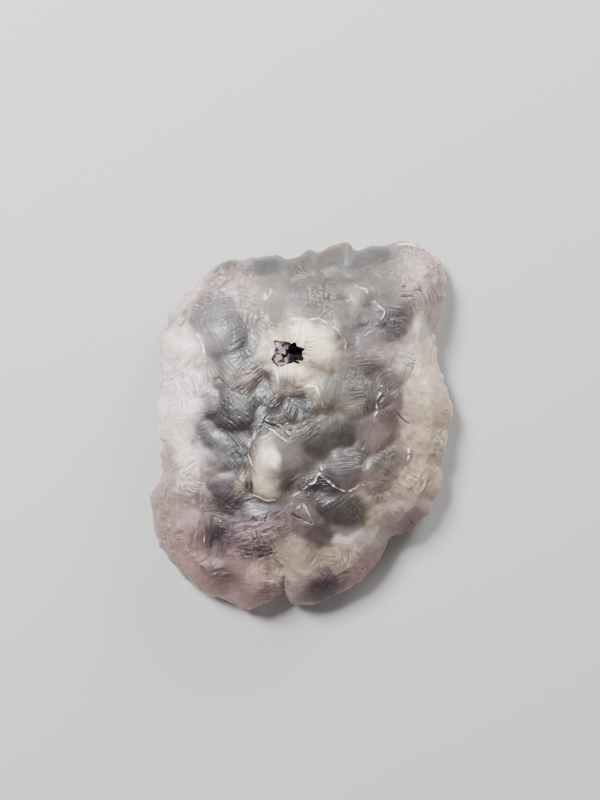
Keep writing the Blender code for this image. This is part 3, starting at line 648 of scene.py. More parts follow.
def rim_height(x, y):
    """How high the plate's thin rim is at each place."""
    return RIM_HEIGHT + RIM_WANDER * wander(on_floor(x, y), RIM_LUMPS, RIM_SEED)


def own_axes(x, y, mark):
    """Where a place lies along and across a crystal or a spot, whose own edge is at 1."""
    turn = math.radians(mark.turn)
    dx = x - mark.x
    dy = y - mark.y
    along = (dx * math.cos(turn) + dy * math.sin(turn)) / mark.along
    across = (dy * math.cos(turn) - dx * math.sin(turn)) / mark.across
    return along, across


def dome(x, y, crystal):
    """The crystal's height over its plan: a round dome, cut by flat faces that lean outwards."""
    u, v = own_axes(x, y, crystal)
    height = np.sqrt(np.clip(1 - u * u - v * v, 0, None))
    # The crystal's place is its seed
    pick = np.random.default_rng(int(abs(crystal.x * 571 + crystal.y * 293) * 10))
    start = pick.uniform(0, math.tau)
    height = np.minimum(height, crystal.rounding)
    for n in range(FACES):
        way = start + math.tau * n / FACES + pick.uniform(-FACE_TURN, FACE_TURN)
        reach = pick.uniform(*FACE_REACH)
        level = crystal.rounding + pick.uniform(*FACE_LEVEL)
        face = level * (1 - reach * (u * math.cos(way) + v * math.sin(way))) / math.sqrt(1 - reach**2)
        height = np.minimum(height, face)
    return crystal.rise * height


def nearest(x, y, crystals):
    """The number of the crystal that a place is most nearly in."""
    shares = [math.hypot((x - c.x) / c.along, (y - c.y) / c.across) for c in crystals]
    return int(np.argmin(shares))


def fill_crystals(named):
    """Small crystals over the whole plate, on a jittered grid, each in its neighbour's tone."""
    pick = np.random.default_rng(FILL_SEED)
    reach = np.abs(OUTLINE).max(axis=0)
    found = []
    for x in np.arange(-reach[0], reach[0], FILL_STEP):
        for y in np.arange(-reach[1], reach[1], FILL_STEP):
            at = np.array((x, y)) + pick.uniform(-FILL_JITTER, FILL_JITTER, 2) * FILL_STEP
            along, across = pick.uniform(*FILL_HALF, 2)
            rise, rounding = pick.uniform(*FILL_RISE), pick.uniform(*FILL_ROUND)
            turn = pick.uniform(0, 180)
            tone = named[nearest(*at, named)].tone
            found.append(Crystal(*at, along, across, turn, rise, rounding, tone))
    return found


def from_line(x, y, corners):
    """How far each place is from a line of straight pieces, and on which side of it, as 1 or -1."""
    away, side = np.full(x.shape, np.inf), np.ones(x.shape)
    for start, end in zip(corners, corners[1:]):
        way = end - start
        dx, dy = x - start[0], y - start[1]
        share = np.clip((dx * way[0] + dy * way[1]) / way.dot(way), 0, 1)
        far = np.hypot(dx - share * way[0], dy - share * way[1])
        side = np.where(far < away, np.where(dx * way[1] < dy * way[0], -1, 1), side)
        away = np.minimum(away, far)
    return away, side


def blurred(field, reach):
    """The field averaged over a square window, twice, so that it fades evenly."""
    size = int(round(reach / GRID_STEP))
    for axis in (0, 1, 0, 1):
        first, last = (np.take(field, [end] * size, axis) for end in (0, -1))
        total = np.cumsum(np.concatenate([first, field, last], axis), axis=axis)
        length = total.shape[axis]
        high = np.take(total, np.arange(2 * size, length), axis)
        low = np.take(total, np.arange(0, length - 2 * size), axis)
        field = (high - low) / (2 * size)
    return field


class HeightMap:
    """The plate's upper side on a fine grid: its height, its tones, and whose crystal a place is."""

    def __init__(self, crystals):
        self.crystals = crystals
        self.xs, self.ys = (np.arange(-half, half + GRID_STEP, GRID_STEP) for half in GRID_HALF)
        self.x, self.y = np.meshgrid(self.xs, self.ys, indexing="ij")
        self.relief, self.second = np.zeros(self.x.shape), np.zeros(self.x.shape)
        self.owner = self.nearest_owners()
        self.other = self.owner.copy()
        self.warp = self.dome_warp()
        for index, crystal in enumerate(crystals):
            self.raise_crystal(index, crystal)
        self.lead = self.relief - self.second
        lines = self.draw_lines()
        self.height = self.base_height() + (self.soft_domes() + lines) * self.fade()
        self.tones = self.mix_tones()

    def dome_warp(self):
        """How far each place is shifted before a dome is read, so that none ends on a clean line."""
        places, small = on_floor(self.x, self.y), WARP_SMALL_CELL * WARP_CELL
        return [
            WARP * (cloud(places, WARP_CELL, seed) + WARP_SMALL_SHARE * cloud(places, small, seed + 2))
            for seed in WARP_SEEDS
        ]

    def nearest_owners(self):
        """The crystal that each place is most nearly in, where no dome covers it."""
        best, owner = np.full(self.x.shape, np.inf), np.zeros(self.x.shape, int)
        for index, crystal in enumerate(NAMED):
            share = np.hypot((self.x - crystal.x) / crystal.along, (self.y - crystal.y) / crystal.across)
            owner = np.where(share < best, index, owner)
            best = np.minimum(best, share)
        return owner

    def window(self, low, high):
        """The place in the grid of the points in a box, and their x and y."""
        rows = slice(*np.searchsorted(self.xs, (low[0], high[0])))
        columns = slice(*np.searchsorted(self.ys, (low[1], high[1])))
        x, y = np.meshgrid(self.xs[rows], self.ys[columns], indexing="ij")
        return (rows, columns), x, y

    def around(self, mark, reach):
        """The window around a crystal or a spot."""
        return self.window((mark.x - reach, mark.y - reach), (mark.x + reach, mark.y + reach))

    def raise_crystal(self, index, crystal):
        """Raise one dome, in the window of the grid that it covers."""
        place, x, y = self.around(crystal, max(crystal.along, crystal.across) + WARP_ROOM * WARP)
        height = dome(x + self.warp[0][place], y + self.warp[1][place], crystal)
        top, under = self.relief[place], self.second[place]
        owner, other = self.owner[place], self.other[place]
        wins = height > top
        other[:] = np.where(wins, owner, np.where(height > under, index, other))
        under[:] = np.where(wins, top, np.maximum(under, height))
        owner[:] = np.where(wins, index, owner)
        top[:] = np.where(wins, height, top)

    def soft_domes(self):
        """The domes, worn soft: crystals that grew together meet in a shallow, rounded crease."""
        crease = CREASE_FILL * np.clip(1 - self.lead / CREASE_WIDTH, 0, 1) ** 2
        domes = self.relief + crease * np.clip(self.second / CREASE_START, 0, 1)
        own, wide = blurred(domes, CREASE_ROUND), blurred(domes, RELIEF_BLUR)
        return RELIEF_OWN * own + (1 - RELIEF_OWN) * wide + RELIEF_LIFT

    def out_share(self):
        """How far out each place is: 0 in the middle, and 1 at the outline."""
        return np.clip(np.hypot(self.x, self.y) / rim_radius(np.arctan2(self.y, self.x)), 0, 1)

    def fade(self):
        """How much of the relief is left towards the rim."""
        return np.sqrt(np.clip((1 - self.out_share()) / FADE_AT_RIM, 0, 1))

    def base_height(self):
        """The plate without its crystals. The outline's notches don't run inwards as grooves."""
        out = self.out_share()
        exact = RIM_HEIGHT + CROWN * np.clip(1 - out**2, 0, None) ** CROWN_FALL
        inner = np.clip((1 - out) / NOTCH_REACH, 0, 1)
        return exact + (blurred(exact, NOTCH_BLUR) - exact) * inner

    def draw_lines(self):
        """The thin edges, beads and cracks: how high they stand, how far off each is, and how wide."""
        rise = np.zeros(self.relief.shape)
        self.sides = {shade: np.full(rise.shape, LINE_REACH) for shade in ("pale", "dark")}
        self.widths = {shade: np.zeros(rise.shape) for shade in ("pale", "dark")}
        for kind, half, points in LINES:
            corners = np.array(points)
            place, x, y = self.window(corners.min(axis=0) - LINE_REACH, corners.max(axis=0) + LINE_REACH)
            spots = on_floor(x, y)
            sway = LINE_SWAY * cloud(spots, LINE_SWAY_CELL, LINE_SEEDS[0])
            away, side = from_line(x + sway, y - sway, corners)
            fullness = LINE_FULLNESS + LINE_VARIES * cloud(spots, LINE_CELL[kind], LINE_SEEDS[1])
            fullness = np.clip(fullness, 0, LINE_FULLEST)
            rise[place] += LINE_HEIGHT[kind] * np.exp(-((away / half) ** 2)) * fullness
            sides, widths = (fields["dark" if kind == "dark" else "pale"][place]
                             for fields in (self.sides, self.widths))
            nearer = away < np.abs(sides)
            sides[nearer] = (away * side)[nearer]
            widths[nearer] = (half * fullness)[nearer]
        return rise

    def mix_tones(self):
        """The tones' five numbers over the grid, soft between crystals, with the spots in them."""
        tones = np.array([TONES[crystal.tone] for crystal in self.crystals])
        share = np.clip(0.5 + self.lead / TONE_LEAD, 0.5, 1)
        fields = []
        for channel in tones.T:
            mixed = channel[self.owner] * share + channel[self.other] * (1 - share)
            fields.append(TONE_OWN * mixed + (1 - TONE_OWN) * blurred(mixed, TONE_BLUR))
        for spot in (Spot(*row) for row in SPOTS):
            place, x, y = self.around(spot, SPOT_REACH * max(spot.along, spot.across))
            u, v = own_axes(x, y, spot)
            covers = spot.share * np.exp(-SPOT_FALL * (u * u + v * v) ** SPOT_POWER)
            for field, value in zip(fields, TONES[spot.tone]):
                field[place] += covers * (value - field[place])
        return fields

    def at(self, field, x, y):
        """The field's value between the grid's points."""
        i = np.clip((x - self.xs[0]) / GRID_STEP, 0, len(self.xs) - 1.001)
        j = np.clip((y - self.ys[0]) / GRID_STEP, 0, len(self.ys) - 1.001)
        a, b = i.astype(int), j.astype(int)
        s, t = i - a, j - b
        near = field[a, b] * (1 - t) + field[a, b + 1] * t
        far = field[a + 1, b] * (1 - t) + field[a + 1, b + 1] * t
        return near * (1 - s) + far * s

    def at_cell(self, field, x, y):
        """The field's value at the nearest point of the grid."""
        i = np.clip(np.round((x - self.xs[0]) / GRID_STEP).astype(int), 0, len(self.xs) - 1)
        j = np.clip(np.round((y - self.ys[0]) / GRID_STEP).astype(int), 0, len(self.ys) - 1)
        return field[i, j]


def crystal_frames(crystals):
    """Each crystal's own turned axes, as rows, and the sizes of its etched blocks."""
    pick = np.random.default_rng(FRAME_SEED)
    frames, sizes = [], []
    for crystal in NAMED:
        level = pick.uniform() < LEVEL_SHARE
        tilt = math.radians(pick.uniform(*(LEVEL_TILT if level else STEEP_TILT)))
        turn = math.radians(crystal.turn) + pick.uniform(-TURN_VARIES, TURN_VARIES)
        if crystal.turn == 0:
            turn = pick.uniform(0, math.pi)
        frames.append(np.array(Euler((tilt, 0, turn)).to_matrix().transposed()))
        sizes.append(np.array(BLOCK) * crystal.step * pick.uniform(*BLOCK_VARIES, 3))
    for crystal in crystals[len(NAMED):]:
        # A small crystal grew the same way round as the large one that it is on
        parent = nearest(crystal.x, crystal.y, NAMED)
        frames.append(frames[parent])
        sizes.append(sizes[parent])
    return np.array(frames), np.array(sizes)


def etched_heights(land, x, y, frames, sizes):
    """The upper side built of small blocks, each crystal's in its own frame."""
    smooth = land.at(land.height, x, y)
    owner = land.at_cell(land.owner, x, y)
    turn, size = frames[owner], sizes[owner]
    places = np.column_stack((x, y, smooth))
    warp = np.stack([cloud(places, BLOCK_WARP_CELL, seed) for seed in BLOCK_WARP_SEEDS], axis=1)
    warp = BLOCK_WARP * warp

    def filled(z):
        """Whether the block that holds each point lies in the stone."""
        local = np.einsum("nij,nj->ni", turn, np.column_stack((x, y, z))) + warp
        cell = np.floor(local / size)
        middle = np.einsum("nji,nj->ni", turn, (cell + 0.5) * size - warp)
        lift = BLOCK_JITTER * (hashed(cell, BLOCK_SEED) - 0.5)
        return land.at(land.height, middle[:, 0], middle[:, 1]) + lift > middle[:, 2]

    drop = BLOCK_REACH / BLOCK_TRIES
    found = smooth + BLOCK_LIFT - BLOCK_REACH
    open_yet = np.ones(len(x), bool)
    for n in range(BLOCK_TRIES):
        z = smooth + BLOCK_LIFT - n * drop
        hit = open_yet & filled(z)
        found = np.where(hit, z, found)
        open_yet &= ~hit
    for _ in range(BLOCK_HALVINGS):
        drop /= 2
        higher = found + drop
        found = np.where(filled(higher), higher, found)
    return smooth + ETCH_DEPTH * (found - smooth) * etched_share(land, x, y, smooth)


def etched_share(land, x, y, z):
    """How deeply each place is etched: as its tone says, and more or less in patches."""
    places = np.column_stack((x, y, z))
    patch = cloud(places, ETCH_CELL, ETCH_SEEDS[0]) + 0.5 * cloud(places, 0.4 * ETCH_CELL, ETCH_SEEDS[1])
    return np.clip(land.at(land.tones[3], x, y) - ETCH_LESS + patch, ETCH_LEAST, 1)


def mesh_points(mesh):
    """The places of the mesh's points, as the mesh has them."""
    points = np.empty(len(mesh.vertices) * 3, np.float32)
    mesh.vertices.foreach_get("co", points)
    return points.reshape(-1, 3).astype(float)


def ball_mesh(name, steps, cuts):
    """A sphere of even triangles, and its points."""
    shape = bmesh.new()
    bmesh.ops.create_icosphere(shape, subdivisions=steps, radius=1)
    if cuts:
        bmesh.ops.subdivide_edges(shape, edges=shape.edges[:], cuts=cuts, use_grid_fill=True)
    mesh = bpy.data.meshes.new(name)
    shape.to_mesh(mesh)
    shape.free()
    points = mesh_points(mesh)
    return mesh, points / np.linalg.norm(points, axis=1)[:, None]


def set_points(mesh, points_mm):
    """Move the mesh's points to new places."""
    mesh.vertices.foreach_set("co", (points_mm * MM).astype(np.float32).ravel())
    mesh.update()


def lower_heights(x, y, out, land):
    """The underside, which curves in from the rim to the flat that the plate lies on."""
    places = on_floor(x, y)
    inward = np.clip((1 - out) / UNDERSIDE_TURN, 0, 1)
    drop = np.sqrt(np.clip(1 - (1 - inward) ** 2, 0, None))
    wide, small, grain = BREAK_SEEDS
    rough = wander(places, BREAK_LUMPS, wide)
    rough += BREAK_SMALL_SHARE * wander(places, BREAK_SMALL_LUMPS, small)
    hollows = np.clip((rough - BREAK_START) * BREAK_SLOPE, 0, BREAK_DEPTH)
    stepped = np.round(hollows / BREAK_STEP) * BREAK_STEP
    hollows = (1 - BREAK_STEPPED) * hollows + BREAK_STEPPED * stepped
    hollows += BREAK_ROUGHNESS * wander(places, BREAK_GRAIN, grain)
    rim = rim_height(x, y)
    bulge = UNDERSIDE_BULGE * land.at(land.relief, x, y) * (1 - inward)
    return np.maximum(rim - (rim + UNDERSIDE_DIP) * drop - bulge + hollows * drop, 0)


def plate_points(ball, land, frames, sizes):
    """Where each point of the ball goes on the plate."""
    upper = ball[:, 2] > CAP_ENDS_AT
    from_top = np.sqrt((1 - ball[:, 2]) / (1 - CAP_ENDS_AT))
    from_below = np.sqrt((1 + ball[:, 2]) / (1 + CAP_ENDS_AT))
    out = np.clip(np.where(upper, from_top, from_below), 0, 1)
    angle = np.arctan2(ball[:, 1], ball[:, 0])
    edge = rim_radius(angle)
    on_edge = on_floor(edge * np.cos(angle), edge * np.sin(angle))
    ragged = RIM_RAGGED * cloud(on_edge, RIM_RAGGED_CELL, RAGGED_SEED)
    radius = (edge + ragged - RIM_INSET) * out
    x, y = radius * np.cos(angle), radius * np.sin(angle)
    etched = etched_heights(land, x, y, frames, sizes)
    blend = np.clip((1 - out) / RIM_BLEND, 0, 1)
    top = np.maximum(rim_height(x, y) * (1 - blend) + etched * blend, LEAST_HEIGHT)
    z = np.where(upper, top, lower_heights(x, y, out, land))
    return np.column_stack((x, y, z))


def vug_mesh(name, inset, top):
    """The vug's shape, narrow at the mouth and wide below, drawn in by inset on every side."""
    mesh, ball = ball_mesh(name, VUG_STEPS, 0)
    floor = VUG_FLOOR + inset
    z = floor + (top - floor) * (ball[:, 2] + 1) / 2
    angle = np.arctan2(ball[:, 1], ball[:, 0])
    depth = np.clip((VUG_TOP - z) / (VUG_TOP - VUG_FLOOR), 0, 1)
    swell = 1 + VUG_WIDEN * np.sin(math.pi * depth**VUG_WIDEST)
    u, v = VUG_HALF[0] * np.cos(angle - VUG_TURN), VUG_HALF[1] * np.sin(angle - VUG_TURN)
    star = radius_at(angle, np.array(VUG_MOUTH) - np.array(VUG_AT))
    below = np.clip(depth / MOUTH_DEPTH - 1, 0, 1)
    wide = np.clip(np.hypot(ball[:, 0], ball[:, 1]), 1e-6, 1) ** VUG_SHOULDER
    reach = (star * (1 - below) + np.hypot(u, v) * swell * below - inset) * wide
    x = VUG_AT.x + reach * np.cos(angle)
    y = VUG_AT.y + reach * np.sin(angle)
    set_points(mesh, np.column_stack((x, y, z)))
    return mesh


def new_object(name, data):
    """An object of this data in the scene."""
    made = bpy.data.objects.new(name, data)
    bpy.context.scene.collection.objects.link(made)
    return made


def cut(target, tool):
    """Take the tool's shape out of the target, and delete the tool."""
    modifier = target.modifiers.new(tool.name, "BOOLEAN")
    modifier.operation = "DIFFERENCE"
    modifier.object = tool
    modifier.solver = "MANIFOLD"
    graph = bpy.context.evaluated_depsgraph_get()
    mesh = bpy.data.meshes.new_from_object(target.evaluated_get(graph))
    target.modifiers.clear()
    old = target.data
    target.data = mesh
    bpy.data.meshes.remove(old)
    bpy.data.objects.remove(tool)


def to_linear(screen):
    """Colours as a screen shows them, turned into amounts of light."""
    return np.where(screen <= 0.04045, screen / 12.92, ((screen + 0.055) / 1.055) ** 2.4)


def away_from_seams(land, frames):
    """0 where one crystal's axes meet another's, and 1 away from there, over the grid."""
    axis = frames[land.owner, 0, 0]
    seams = np.zeros(axis.shape)
    seams[1:] = np.diff(axis, axis=0) != 0
    seams[:, 1:] = np.maximum(seams[:, 1:], np.diff(axis, axis=1) != 0)
    return 1 - np.clip(SEAM_STRENGTH * blurred(seams, SEAM_REACH), 0, 1)


def write_field(mesh, name, kind, slot, values):
    """Keep a value at each of the mesh's points, for the material to read."""
    field = mesh.attributes.new(name, kind, "POINT")
    field.data.foreach_set(slot, values.astype(np.float32).ravel())


def paint_plate(mesh, land, frames):
    """Write what the material reads at each point, and return how milky the stone is there."""
    points = mesh_points(mesh) / MM
    x, y, z = points.T
    # Wander the lookup a little, so that no tone ends on a clean line
    near_x, near_y = (
        place + TONE_DRIFT * cloud(points, TONE_DRIFT_CELL, seed)
        for place, seed in zip((x, y), DRIFT_SEEDS)
    )
    red, green, blue, _, milk = (land.at(field, near_x, near_y) for field in land.tones)
    # A painted glow: the tone is painted lighter towards the thin rim
    from_rim = np.clip(rim_radius(np.arctan2(y, x)) - np.hypot(x, y), 0, None)
    glow = (RIM_GLOW * np.exp(-from_rim / RIM_GLOW_WIDTH))[:, None]
    screen = np.column_stack((red, green, blue)) * (1 - glow) + np.array(RIM_GLOW_COLOUR) * glow
    tone = np.column_stack((to_linear(screen), np.ones(len(points))))
    write_field(mesh, "tone", "FLOAT_COLOR", "color", tone)

    height = land.at(land.height, x, y)
    upper = np.clip((z - UPPER_STARTS * height) / (UPPER_FADE * height), 0, 1)
    lead = np.clip(land.at(land.lead, x, y), 0, None)
    # The crystals' pale edges, partly their own colour and partly painted highlight
    write_field(mesh, "edge", "FLOAT", "value", np.exp(-lead / EDGE_FALL) * upper)
    # The strokes end softly where two crystals meet
    apart = land.at(away_from_seams(land, frames), x, y)
    write_field(mesh, "etch", "FLOAT", "value", etched_share(land, near_x, near_y, z) * apart)
    for shade in ("dark", "pale"):
        side = land.at(land.sides[shade], x, y)
        width = land.at(land.widths[shade], x, y) * upper
        write_field(mesh, shade + "_side", "FLOAT", "value", side)
        write_field(mesh, shade + "_width", "FLOAT", "value", width)

    # The strokes run along the crystal's turn, as seen from above
    owner = land.at_cell(land.owner, x, y)
    along, across = frames[owner, 0, 0], frames[owner, 0, 1]
    local = np.column_stack((x * along + y * across, y * along - x * across, z))
    write_field(mesh, "crystal_axes", "FLOAT_VECTOR", "vector", local)

    milk = milk + MILK_MOTTLE * cloud(points, MILK_CELL, MILK_SEED)
    # Side and width are the pale lines' here, which are milky
    return np.where(np.abs(side) < width, np.maximum(milk, LINE_MILK), milk)


def grade_faces(mesh, milk):
    """Give each face the material for how milky the stone is there, clear first and milky last."""
    count = len(mesh.loops)
    corners = np.empty(count, np.int32)
    mesh.loops.foreach_get("vertex_index", corners)
    starts = np.empty(len(mesh.polygons), np.int32)
    mesh.polygons.foreach_get("loop_start", starts)
    mean = np.add.reduceat(milk[corners], starts) / np.diff(np.append(starts, count))
    share = (mean - MILK_LEAST) / (1 - MILK_LEAST)
    grade = np.clip(np.round(share * (MILK_GRADES - 1)), 0, MILK_GRADES - 1)
    mesh.polygons.foreach_set("material_index", grade.astype(np.int32))


def etched_plate():
    """The whole plate as one fine mesh, with the vug cut into it."""
    crystals = NAMED + fill_crystals(NAMED)
    land = HeightMap(crystals)
    frames, sizes = crystal_frames(crystals)
    mesh, ball = ball_mesh("etched_plate", BALL_STEPS, BALL_CUTS)
    set_points(mesh, plate_points(ball, land, frames, sizes))
    plate = new_object("etched_plate", mesh)
    cut(plate, new_object("vug_cutter", vug_mesh("vug_cutter", 0, VUG_TOP + VUG_CUT_ABOVE)))
    milk = paint_plate(plate.data, land, frames)
    plate.data.materials.clear()
    for grade, clearness in enumerate(np.linspace(CLEAR, MILKY, MILK_GRADES)):
        plate.data.materials.append(fluorite_material("etched_fluorite_%d" % grade, float(clearness)))
    grade_faces(plate.data, milk)
    return plate


class Graph:
    """A material and its nodes, laid out in rows in the order in which they are made."""

    ROW = 10
    STEP = (220, 320)

    def __init__(self, name):
        self.material = bpy.data.materials.new(name)
        self.material.use_nodes = True
        self.nodes = self.material.node_tree.nodes
        self.links = self.material.node_tree.links
        self.shader = self.nodes["Principled BSDF"]
        self.output = self.nodes["Material Output"]

    def put(self, node, inputs):
        """Link or set a node's inputs, by their names or numbers."""
        for name, value in inputs.items():
            if isinstance(value, bpy.types.NodeSocket):
                self.links.new(value, node.inputs[name])
            else:
                node.inputs[name].default_value = value

    def add(self, kind, inputs, **settings):
        """A new node with its settings and inputs."""
        made = self.nodes.new(kind)
        row, column = divmod(len(self.nodes), self.ROW)
        made.location = ((column - self.ROW - 1) * self.STEP[0], -row * self.STEP[1])
        for name, value in settings.items():
            setattr(made, name, value)
        self.put(made, inputs)
        return made

    def math(self, operation, *values):
        return self.add("ShaderNodeMath", dict(enumerate(values)), operation=operation).outputs[0]

    def vector(self, operation, a, b):
        made = self.add("ShaderNodeVectorMath", {0: a, 1: b}, operation=operation)
        return made.outputs["Value" if operation == "DOT_PRODUCT" else "Vector"]

    def attribute(self, name, output="Fac"):
        return self.add("ShaderNodeAttribute", {}, attribute_name=name).outputs[output]

    def object_place(self):
        return self.add("ShaderNodeTexCoord", {}).outputs["Object"]

    def mix(self, share, a, b):
        """The number a where the share is 0, and b where it is 1."""
        return self.add("ShaderNodeMix", {0: share, 2: a, 3: b}).outputs[0]

    def mix_colour(self, blend, share, a, b):
        kind = {"data_type": "RGBA", "blend_type": blend, "clamp_factor": True}
        return self.add("ShaderNodeMix", {0: share, 6: a, 7: b}, **kind).outputs[2]

    def stretched(self, vector, stretch):
        return self.add("ShaderNodeMapping", {"Scale": stretch, "Vector": vector}).outputs[0]

    def noise(self, vector, scale, detail, stretch=(1, 1, 1)):
        """A noise over the vector, with this many lumps to its unit, stretched along its axes."""
        inputs = {"Scale": scale, "Detail": detail, "Vector": self.stretched(vector, stretch)}
        return self.add("ShaderNodeTexNoise", inputs).outputs["Fac"]

    def ramp(self, value, low, high):
        """0 below low, 1 above high, and smooth between; turned round where low is above high."""
        flip = low > high
        inputs = {"From Min": min(low, high), "From Max": max(low, high),
                  "To Min": float(flip), "To Max": float(not flip), "Value": value}
        kind = {"interpolation_type": "SMOOTHSTEP", "clamp": True}
        return self.add("ShaderNodeMapRange", inputs, **kind).outputs[0]

    def bump(self, height, strength, depth):
        """The normals of a height in units of the depth, for the shader."""
        inputs = {"Strength": strength, "Distance": depth, "Height": height}
        return self.add("ShaderNodeBump", inputs).outputs[0]

    def facets(self, vector, scale, stretch):
        """Small flat facets that each lean their own way: their height, and a shade of their own."""
        place = self.stretched(vector, stretch)
        cells = self.add("ShaderNodeTexVoronoi", {"Scale": scale, "Vector": place}, distance="CHEBYCHEV")
        offset = self.vector("SUBTRACT", place, cells.outputs["Position"])
        lean = self.vector("SUBTRACT", cells.outputs["Color"], (0.5, 0.5, 0.5))
        parts = self.add("ShaderNodeSeparateColor", {0: cells.outputs["Color"]})
        return self.vector("DOT_PRODUCT", offset, lean), parts.outputs[0]

    def terraces(self, vector, scale, levels, stretch):
        """Growth steps: a height that climbs slowly and drops at once, over and over."""
        swell = self.noise(vector, scale, 2, stretch)
        return self.math("FRACT", self.math("MULTIPLY", swell, levels))

    def drawn_line(self, shade):
        """1 on the drawn lines of a shade, pale or dark, and 0 beside them."""
        away = self.math("ABSOLUTE", self.attribute(shade + "_side"))
        width = self.math("MAXIMUM", self.attribute(shade + "_width"), LINE_LEAST)
        return self.ramp(self.math("DIVIDE", away, width), *DRAWN_RAMP)


def etching(graph, place):
    """The etching's marks over the crystals' axes: facets, a shade for each, strokes and steps."""
    across = graph.ramp(graph.noise(place, PATCHES, 1), *PATCH_RAMP)
    long_facets, long_shade = graph.facets(place, *LONG_FACETS)
    cross_facets, cross_shade = graph.facets(place, *CROSS_FACETS)
    facets = graph.mix(across, long_facets, cross_facets)
    shade = graph.mix(across, long_shade, cross_shade)
    strokes = graph.mix(
        across,
        graph.noise(place, 1, STROKE_DETAIL, LONG_STROKES),
        graph.noise(place, 1, STROKE_DETAIL, CROSS_STROKES),
    )
    strokes = graph.ramp(strokes, *STROKE_RAMP)
    steps = graph.mix(across, graph.terraces(place, *LONG_STEPS), graph.terraces(place, *CROSS_STEPS))
    return facets, shade, strokes, steps, cross_shade


def etched_colour(graph, etch, clouds, shade, strokes, steps, facet_pick):
    """The tones, shaded by the etching, with thin lines where its steps catch or hide the light."""
    plates = graph.math("MULTIPLY_ADD", shade, PLATES, -0.5 * PLATES)
    thin = graph.math("MULTIPLY", graph.math("SUBTRACT", strokes, 0.5), STROKES)
    marks = graph.math("MULTIPLY", graph.math("ADD", plates, thin), etch)
    light = graph.math(
        "ADD",
        graph.math("MULTIPLY_ADD", marks, FACET_CONTRAST, TONE_LEVEL),
        graph.math("MULTIPLY_ADD", clouds, CLOUDS, 0.5 - 0.5 * CLOUDS),
    )
    grey = graph.add("ShaderNodeCombineColor", {0: light, 1: light, 2: light}).outputs[0]
    shaded = graph.mix_colour("MULTIPLY", 1.0, graph.attribute("tone", "Color"), grey)

    # Painted shade at the foot of each growth step, and along the drawn cracks
    hidden = graph.math("MULTIPLY", graph.ramp(steps, *DARK_RAMP), etch)
    sunk = graph.math("MAXIMUM", graph.math("MULTIPLY", hidden, DARK_LINES), graph.drawn_line("dark"))
    # Painted highlights along the top of each growth step
    bright = graph.math("MULTIPLY", graph.ramp(steps, *BRIGHT_RAMP), etch)
    # The crystals' pale edges, partly their own colour and partly painted highlight
    edges = graph.math("MULTIPLY", graph.attribute("edge"), graph.ramp(clouds, *EDGE_RAMP))
    # Painted glints on the brightest small facets
    painted_glints = graph.math("MULTIPLY", graph.ramp(facet_pick, *PAINTED_GLINT_RAMP), etch)
    lit = graph.math(
        "MAXIMUM",
        graph.math("MULTIPLY", bright, BRIGHT_LINES),
        graph.math("MULTIPLY", edges, PALE_EDGES),
    )
    lit = graph.math("MAXIMUM", lit, graph.math("MULTIPLY", painted_glints, PAINTED_GLINTS))
    lined = graph.mix_colour("MIX", sunk, shaded, GROOVE)
    glinting = graph.mix_colour("DODGE", lit, lined, PALE_AND_GLINT)
    # The drawn pale lines, partly their own colour and partly painted highlight
    return graph.mix_colour("MIX", graph.drawn_line("pale"), glinting, PALE_AND_GLINT)


def etched_height(graph, etch, grain, facets, strokes, steps):
    """How deep the etching's marks are, in millimetres."""
    marks = graph.math("MULTIPLY_ADD", steps, STEP_HEIGHT, graph.math("MULTIPLY", facets, FACET_HEIGHT))
    marks = graph.math("MULTIPLY_ADD", strokes, STROKE_HEIGHT, marks)
    return graph.math("MULTIPLY_ADD", grain, GRAIN_HEIGHT, graph.math("MULTIPLY", marks, etch))


def fluorite_material(name, clearness):
    """Etched fluorite in the crystals' own tones, more or less clear."""
    graph = Graph(name)
    stone = graph.object_place()
    clouds = graph.noise(stone, CLOUDS_IN_MM / MM, 3)
    grain = graph.noise(stone, GRAINS_IN_MM / MM, 3)
    etch = graph.attribute("etch")
    facets, shade, strokes, steps, facet_pick = etching(graph, graph.attribute("crystal_axes", "Vector"))
    height = etched_height(graph, etch, grain, facets, strokes, steps)
    normal = graph.bump(height, BUMP, MM)
    graph.put(graph.shader, {
        "Base Color": etched_colour(graph, etch, clouds, shade, strokes, steps, facet_pick),
        "Roughness": graph.math("MULTIPLY_ADD", facet_pick, ROUGHNESS_VARIES, ROUGHNESS),
        "Normal": normal,
        "Coat Normal": normal,
        "Coat Weight": COAT,
        "Coat Roughness": COAT_ROUGHNESS,
        "IOR": FLUORITE_IOR,
        "Transmission Weight": clearness,
    })
    inside = {"Color": ABSORPTION_TINT, "Density": ABSORPTION}
    graph.put(graph.output, {"Volume": graph.add("ShaderNodeVolumeAbsorption", inside).outputs[0]})
    return graph.material


def violet_material():
    """Dark violet fluorite, glassy, paler towards the vug's left side, where its crystals are thin, and
    nearly black to the right, partly painted shade.
    """
    graph = Graph("violet_fluorite")
    place = graph.object_place()
    patches = graph.add("ShaderNodeTexVoronoi", {"Scale": VIOLET_PATCHES / MM, "Vector": place})
    violets = graph.add("ShaderNodeValToRGB", {"Fac": patches.outputs["Color"]})
    for stop, colour in zip(violets.color_ramp.elements, (VIOLET_DARK, VIOLET_PALE)):
        stop.color = colour
    parts = graph.add("ShaderNodeSeparateXYZ", {0: place})
    # Towards the right the colour goes nearly black, partly painted shade in the hollow
    thin = graph.ramp(parts.outputs["X"], PALE_CRYSTALS_END * MM, PALE_CRYSTALS_FULL * MM)
    fine = graph.noise(place, VIOLET_GRAIN / MM, 2)
    graph.put(graph.shader, {
        "Base Color": graph.mix_colour("MIX", thin, VIOLET_DEEP_AND_SHADE, violets.outputs["Color"]),
        "Normal": graph.bump(fine, VIOLET_BUMP, VIOLET_GRAIN_HEIGHT * MM),
        "Roughness": VIOLET_ROUGHNESS,
        "IOR": FLUORITE_IOR,
    })
    return graph.material


